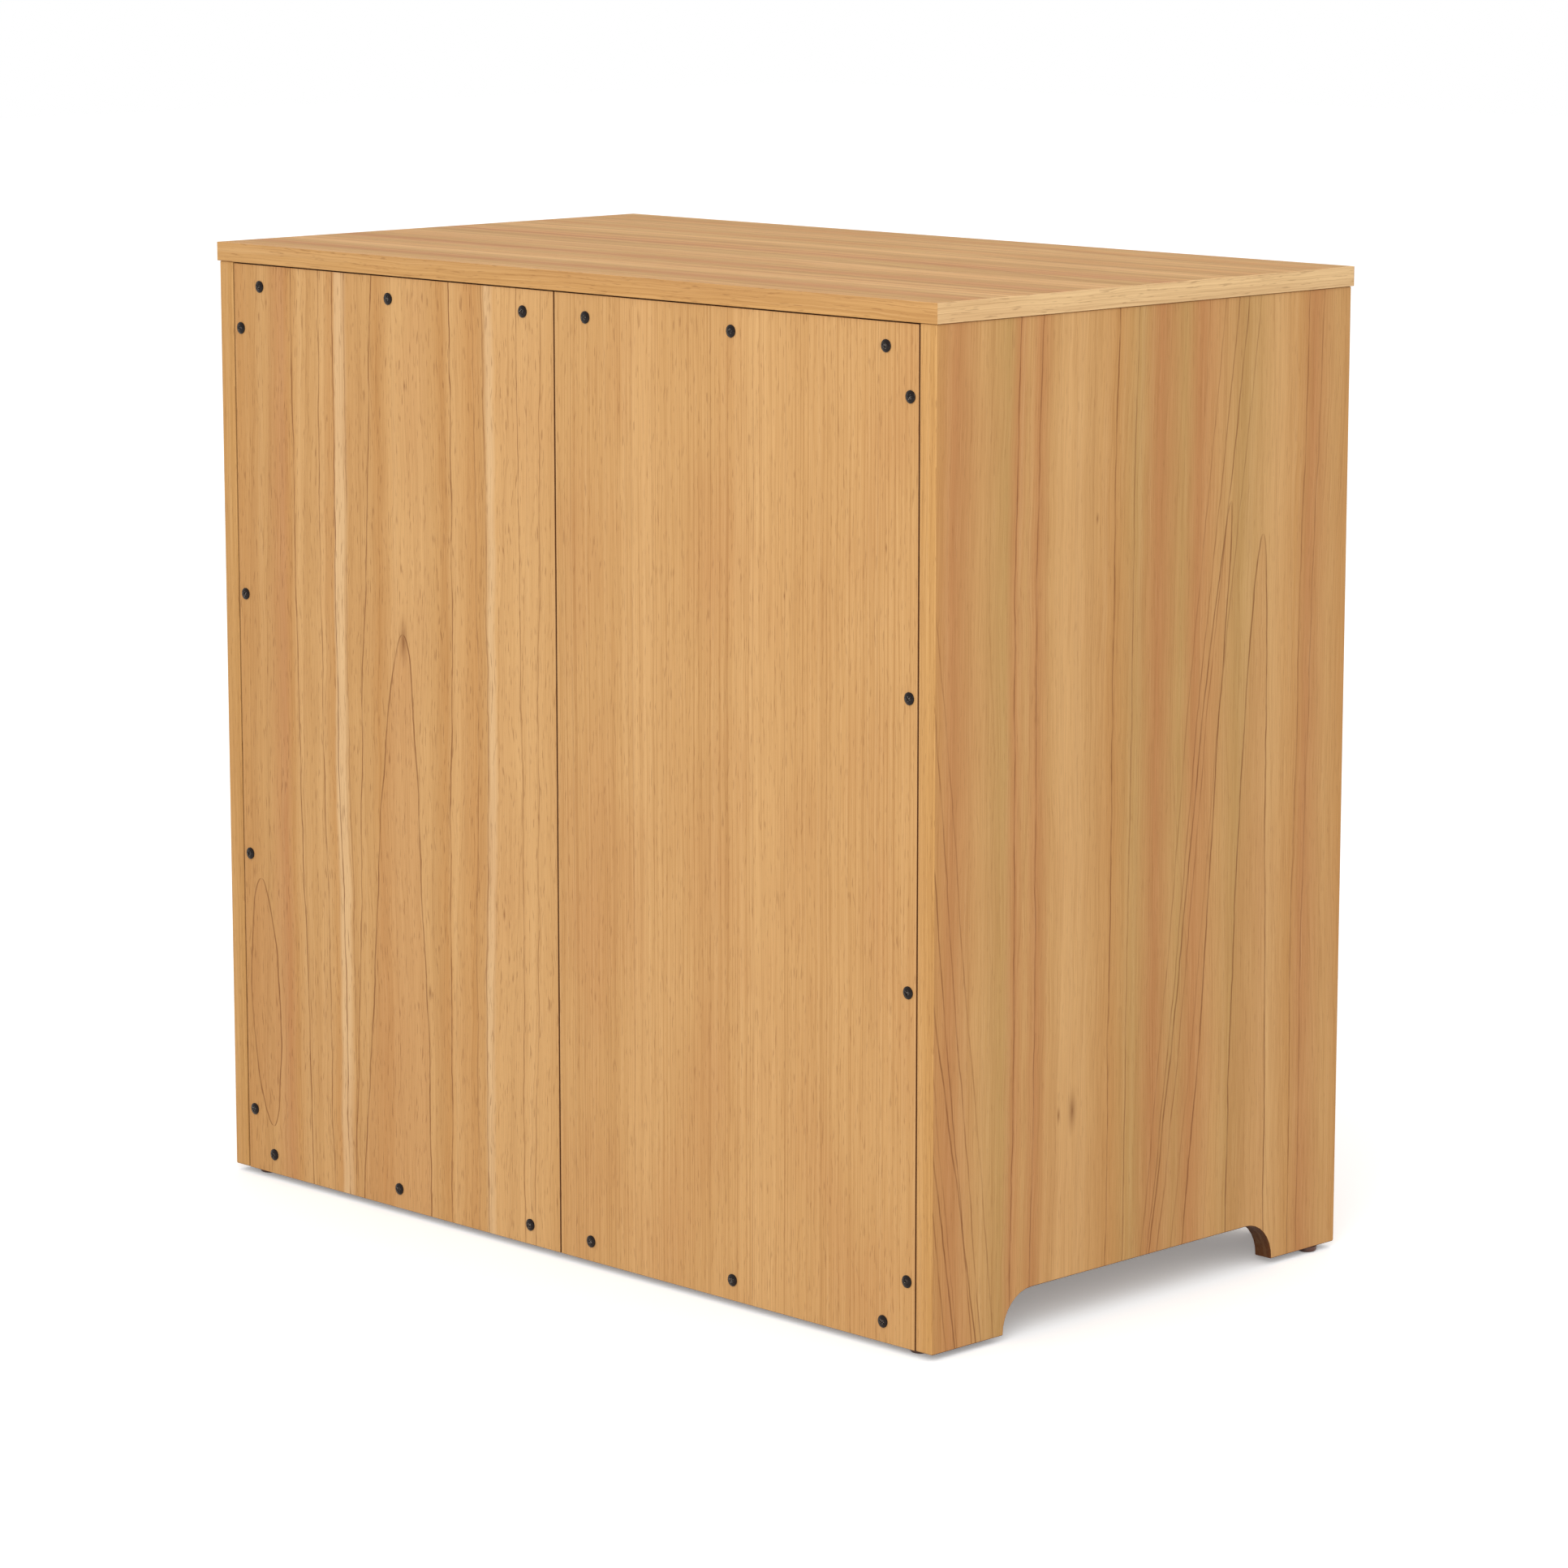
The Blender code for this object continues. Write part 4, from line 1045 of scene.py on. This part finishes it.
class ICEBOX_OT_back_screws(bpy.types.Operator):
    """Makes the black pan-head screws that hold the two back panels."""

    bl_idname = "icebox.back_screws"
    bl_label = "Back screws"

    def execute(self, context):
        look = context.scene.icebox_hardware
        # The back screws' material carries painted glints: patches of bare steel round the recess.
        black = bpy.data.materials["black_lacquered_steel"]
        _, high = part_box("right_back_panel")
        _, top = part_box("rear_top_rail")
        base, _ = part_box("rear_base_rail")
        inner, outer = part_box("right_rear_batten")
        side_x = (inner[X] + outer[X]) / 2
        spots = [(x, top[Z] - TOP_MARGIN) for x in SCREW_ROWS] + [(side_x, z) for z in SCREW_RUNGS]
        spots += [(x, base[Z] + BASE_MARGIN) for x in SCREW_ROWS]
        height = min(look.head_height, TALLEST_HEAD)
        for side, label in ((1, "right"), (-1, "left")):
            for number, (x, z) in enumerate(spots, 1):
                turn = math.radians((number * 37 + (side > 0) * 20) % 90)
                surface = screw_head((side * x, high[Y] + LIFT, z), look.head_radius, height, turn)
                spot = (side * x, high[Y], z)
                name = f"{label}_back_screw_{number:02d}"
                make_piece(name, surface, [black], "cabinet", grain=(X, Z, Y, spot))
        return {"FINISHED"}


LEAF_PLATE, BASE_PLATE = 2.5 * MM, 2.7 * MM  # thickness of brass under the heads
LEAF_SPOTS = ((12 * MM, 0.0), (21 * MM, 15 * MM), (21 * MM, -15 * MM))  # out from the pin, and up
LEAF_HEAD, LATCH_HEAD = (3.1 * MM, -0.9 * MM), (2.7 * MM, -0.8 * MM)  # radius, and height towards -Y
BASE_SPOT, KEEPER_SPOT = (5.5 * MM, 8.6 * MM), (5 * MM, 6.2 * MM)  # in from the far end, up and down


class ICEBOX_OT_hinges(bpy.types.Operator):
    """Makes the surface hinges and their round-headed screws."""

    bl_idname = "icebox.hinges"
    bl_label = "Hinges"

    def execute(self, context):
        look = context.scene.icebox_hardware
        brass = bpy.data.materials["aged_brass"]
        for door in DOORS:
            for place in ("upper", "lower"):
                for leaf in ("frame_leaf", "door_leaf"):
                    node = f"{door}_{place}_{leaf}"
                    softened_copy(node, node + "_brass", brass, look.softening)
                    self.add_screws(node)
        return {"FINISHED"}

    def add_screws(self, node):
        """Three round heads in a triangle on each leaf."""
        low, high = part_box(node)
        pin_low, pin_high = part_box(node.replace("frame_leaf", "door_leaf"))
        middle_z = (pin_low[Z] + pin_high[Z]) / 2
        outward = self.outward(node, low, high)
        root = high[X] if outward < 0 else low[X]
        heads = []
        for u, v in LEAF_SPOTS:
            centre = (root + outward * u, high[Y] - LEAF_PLATE, middle_z + v)
            heads.append(screw_head(centre, *LEAF_HEAD, 0.4 + v * 40, SMALL_HEAD_SIDES))
        screws = bpy.data.materials["tarnished_brass"]
        make_piece(node + "_screws", joined(*heads), [screws], body_named(node))

    def outward(self, node, low, high):
        """-1 where the leaf reaches towards -X from its pin."""
        partner = node.replace("frame_leaf", "@").replace("door_leaf", "frame_leaf").replace("@", "door_leaf")
        other_low, other_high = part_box(partner)
        return 1 if low[X] + high[X] > other_low[X] + other_high[X] else -1


class ICEBOX_OT_latches(bpy.types.Operator):
    """Makes the lever latches, their keepers and screws."""

    bl_idname = "icebox.latches"
    bl_label = "Latches"

    def execute(self, context):
        look = context.scene.icebox_hardware
        brass = bpy.data.materials["aged_brass"]
        for door in DOORS:
            for part in ("latch_base", "lever", "keeper"):
                softened_copy(f"{door}_{part}", f"{door}_{part}_brass", brass, look.softening)
            self.add_screws(door)
        return {"FINISHED"}

    def add_screws(self, door):
        """Two heads at the base's far end and two on the keeper's plate."""
        low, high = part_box(door + "_latch_base")
        keep_low, keep_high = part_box(door + "_keeper")
        outward = 1 if keep_low[X] + keep_high[X] > low[X] + high[X] else -1
        middle_z = (low[Z] + high[Z]) / 2
        far = low[X] if outward > 0 else high[X]
        keep_far = keep_high[X] if outward > 0 else keep_low[X]
        spots = {
            "latch_base": (far + outward * BASE_SPOT[0], high[Y] - BASE_PLATE, BASE_SPOT[1]),
            "keeper": (keep_far - outward * KEEPER_SPOT[0], keep_high[Y] - LEAF_PLATE, KEEPER_SPOT[1]),
        }
        for part, (x, y, rise) in spots.items():
            heads = [
                screw_head((x, y, middle_z + v), *LATCH_HEAD, 0.6 + v * 60, SMALL_HEAD_SIDES)
                for v in (rise, -rise)
            ]
            node = f"{door}_{part}"
            screws = bpy.data.materials["tarnished_brass"]
            make_piece(node + "_screws", joined(*heads), [screws], body_named(node))


GLIDE_FLAT, GLIDE_BEVEL = 5.2 * MM, 0.4 * MM
PIN_INSET, PIN_RADIUS, PIN_REACH, PIN_BEVEL = 40 * MM, 2.5 * MM, 8 * MM, 0.5 * MM
SHELF_PLAY, PIN_PLAY = 0.4 * MM, 0.1 * MM  # from a shelf to the boards beside it, and to its pins


class ICEBOX_OT_small_parts(bpy.types.Operator):
    """Makes the floor glides and the pins that carry the loose shelves."""

    bl_idname = "icebox.small_parts"
    bl_label = "Glides and shelf pins"

    def execute(self, context):
        plastic = bpy.data.materials["moulded_glide_plastic"]
        brass = bpy.data.materials["aged_brass"]
        for end in ("front", "rear"):
            for side in ("left", "right"):
                self.make_glide(f"{end}_{side}_glide", plastic)
        for shelf in ("upper_shelf", "lower_shelf"):
            self.make_pins(shelf, brass)
        return {"FINISHED"}

    def make_glide(self, node, plastic):
        """A domed glide: a flat foot, a quarter-ellipse shoulder and a thin flange under the board."""
        low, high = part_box(node)
        centre = ((low[X] + high[X]) / 2, (low[Y] + high[Y]) / 2, 0)
        radius, height = (high[X] - low[X]) / 2, high[Z]
        turn = np.linspace(0, math.pi / 2, 9)
        reach = GLIDE_FLAT + (radius - GLIDE_FLAT) * np.sin(turn)
        curve = np.stack([reach, height * 0.5 * (1 - np.cos(turn))], 1)
        profile = [(0, height), (radius - GLIDE_BEVEL, height), (radius, height - GLIDE_BEVEL)]
        profile += curve[::-1].tolist() + [(0, 0)]
        surface = turned_surface(profile, 48, centre)
        make_piece(node + "_plastic", surface, [plastic], "cabinet", (node,))

    def make_pins(self, shelf, brass):
        """Four round pins under each loose shelf, out of the boards beside it, with their ends eased."""
        low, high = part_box(shelf)
        shoulder, centre_z = PIN_RADIUS - PIN_BEVEL, low[Z] - PIN_RADIUS - PIN_PLAY
        ends = [(0, 0), (PIN_RADIUS, 0), (PIN_RADIUS, PIN_REACH - PIN_BEVEL), (shoulder, PIN_REACH)]
        ends += [(0, PIN_REACH)]
        for side, x, way in (("left", low[X] - SHELF_PLAY, 1), ("right", high[X] + SHELF_PLAY, -1)):
            for end, y in (("front", low[Y] + PIN_INSET), ("rear", high[Y] - PIN_INSET)):
                surface = turned_surface([(r, way * h) for r, h in ends], 24, (x, y, centre_z), X)
                make_piece(f"{shelf}_{end}_{side}_pin", surface, [brass], "cabinet")


# ---------------------------------------------------------------- stage
FLOOR_REACH = 14.0
FLOOR_SEEN, FLOOR_LIT, FLOOR_GLOW = "FFFFFF", "ACACAC", "808080"
LAMP_SIZE = 2.8
LAMP_PLACE, LAMP_AIM = (-2.3, 3.2, 1.9), (0.0, 0.0, 0.4)
CAMERA_PLACE = (-2.9544, 2.905, 1.0879)  # from the middle of the side boards, on the floor
CAMERA_YAW, CAMERA_PITCH = math.radians(45.321), math.radians(10.148)
SENSOR = 36.0


class ICEBOX_OT_stage(bpy.types.Operator):
    """Makes the floor, the even white surroundings, the soft lamp and the camera."""

    bl_idname = "icebox.stage"
    bl_label = "Stage"

    def execute(self, context):
        look = context.scene.icebox_stage
        self.make_floor()
        self.make_world(context.scene, look)
        self.make_lamp(look)
        self.make_camera(context.scene, look)
        context.scene.view_settings.view_transform = "Standard"
        return {"FINISHED"}

    def seen_directly(self, tree):
        """1 for rays from the camera, from gloss and through glass."""
        path = add(tree, "LightPath")
        camera, gloss = path.outputs["Is Camera Ray"], path.outputs["Is Glossy Ray"]
        seen = add(tree, "Math", (camera, gloss), operation="MAXIMUM")
        return add(tree, "Math", (seen, path.outputs["Is Transmission Ray"]), operation="MAXIMUM")

    def make_floor(self):
        """A matt white floor; the light it throws back on the object is that of a pale grey one."""
        mesh = bpy.data.meshes.new("studio_floor")
        corners = [(x * FLOOR_REACH, y * FLOOR_REACH, 0) for x, y in ((-1, -1), (1, -1), (1, 1), (-1, 1))]
        mesh.from_pydata(corners, [], [(0, 1, 2, 3)])
        made, tree, shader = new_material("studio_floor", Roughness=1.0, Specular_IOR_Level=0.0)
        seen = self.seen_directly(tree)
        colour = add(tree, "Mix", {0: seen, 6: linear(FLOOR_LIT), 7: linear(FLOOR_SEEN)}, data_type="RGBA")
        glow = add(tree, "Mix", {0: seen, 6: linear("000000"), 7: linear(FLOOR_GLOW)}, data_type="RGBA")
        fill(tree, shader, {"Base Color": colour, "Emission Color": glow, "Emission Strength": 1.0})
        mesh.materials.append(made)
        floor = bpy.data.objects.new("studio_floor", mesh)
        bpy.context.scene.collection.objects.link(floor)

    def make_world(self, scene, look):
        """Even light from all round, which the camera and the gloss see as plain white."""
        world = bpy.data.worlds.new("studio")
        world.use_nodes = True
        tree = world.node_tree
        shader = tree.nodes["Background"]
        strength = add(tree, "MapRange", (self.seen_directly(tree), 0.0, 1.0, look.world, 1.0))
        fill(tree, shader, {"Color": linear("FFFFFF"), "Strength": strength})
        scene.world = world

    def make_lamp(self, look):
        """One large soft lamp, above and behind the camera's left shoulder."""
        data = bpy.data.lights.new("soft_key", "AREA")
        data.shape = "DISK"
        data.size = LAMP_SIZE
        data.energy = look.key
        lamp = bpy.data.objects.new("soft_key", data)
        lamp.location = LAMP_PLACE
        aim = np.array(LAMP_AIM) - np.array(LAMP_PLACE)
        lamp.rotation_euler = (
            math.atan2(math.hypot(aim[0], aim[1]), -aim[2]),
            0.0,
            math.atan2(-aim[0], aim[1]),
        )
        bpy.context.scene.collection.objects.link(lamp)

    def make_camera(self, scene, look):
        """Behind the cabinet and to one side, level with the hips, looking slightly down."""
        data = bpy.data.cameras.new("camera")
        data.lens = look.lens
        data.sensor_width = SENSOR
        data.clip_end = 60.0
        camera = bpy.data.objects.new("camera", data)
        low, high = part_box("right_side_panel")
        camera.location = np.array(CAMERA_PLACE) + (0.0, (low[Y] + high[Y]) / 2, 0.0)
        camera.rotation_euler = (math.pi / 2 - CAMERA_PITCH, 0.0, math.pi + CAMERA_YAW)
        scene.collection.objects.link(camera)
        scene.camera = camera


class ICEBOX_PT_panel(bpy.types.Panel):
    """Lists what the cabinet is made of."""

    bl_idname = "ICEBOX_PT_panel"
    bl_label = "Icebox cabinet"
    bl_space_type = "VIEW_3D"
    bl_region_type = "UI"
    bl_category = "Icebox"

    def draw(self, context):
        for group in ("icebox_wood", "icebox_hardware", "icebox_stage"):
            settings = getattr(context.scene, group)
            for name in settings.bl_rna.properties.keys():
                if name not in ("rna_type", "name"):
                    self.layout.prop(settings, name)
        for operator in OPERATORS:
            self.layout.operator(operator.bl_idname)


OPERATORS = (
    ICEBOX_OT_finishes,
    ICEBOX_OT_carcass,
    ICEBOX_OT_face_frame,
    ICEBOX_OT_doors,
    ICEBOX_OT_hinges,
    ICEBOX_OT_latches,
    ICEBOX_OT_back_screws,
    ICEBOX_OT_small_parts,
    ICEBOX_OT_stage,
)
GROUPS = {"icebox_wood": IceboxWood, "icebox_hardware": IceboxHardware, "icebox_stage": IceboxStage}


def register():
    for name, group in GROUPS.items():
        bpy.utils.register_class(group)
        setattr(bpy.types.Scene, name, bpy.props.PointerProperty(type=group))
    for made in (*OPERATORS, ICEBOX_PT_panel):
        bpy.utils.register_class(made)


def unregister():
    for made in (ICEBOX_PT_panel, *reversed(OPERATORS)):
        bpy.utils.unregister_class(made)
    for name, group in GROUPS.items():
        delattr(bpy.types.Scene, name)
        bpy.utils.unregister_class(group)


def main():
    register()
    bpy.ops.icebox.finishes()
    bpy.ops.icebox.carcass()
    bpy.ops.icebox.face_frame()
    bpy.ops.icebox.doors()
    bpy.ops.icebox.hinges()
    bpy.ops.icebox.latches()
    bpy.ops.icebox.back_screws()
    bpy.ops.icebox.small_parts()
    bpy.ops.icebox.stage()


if __name__ == "__main__":
    main()
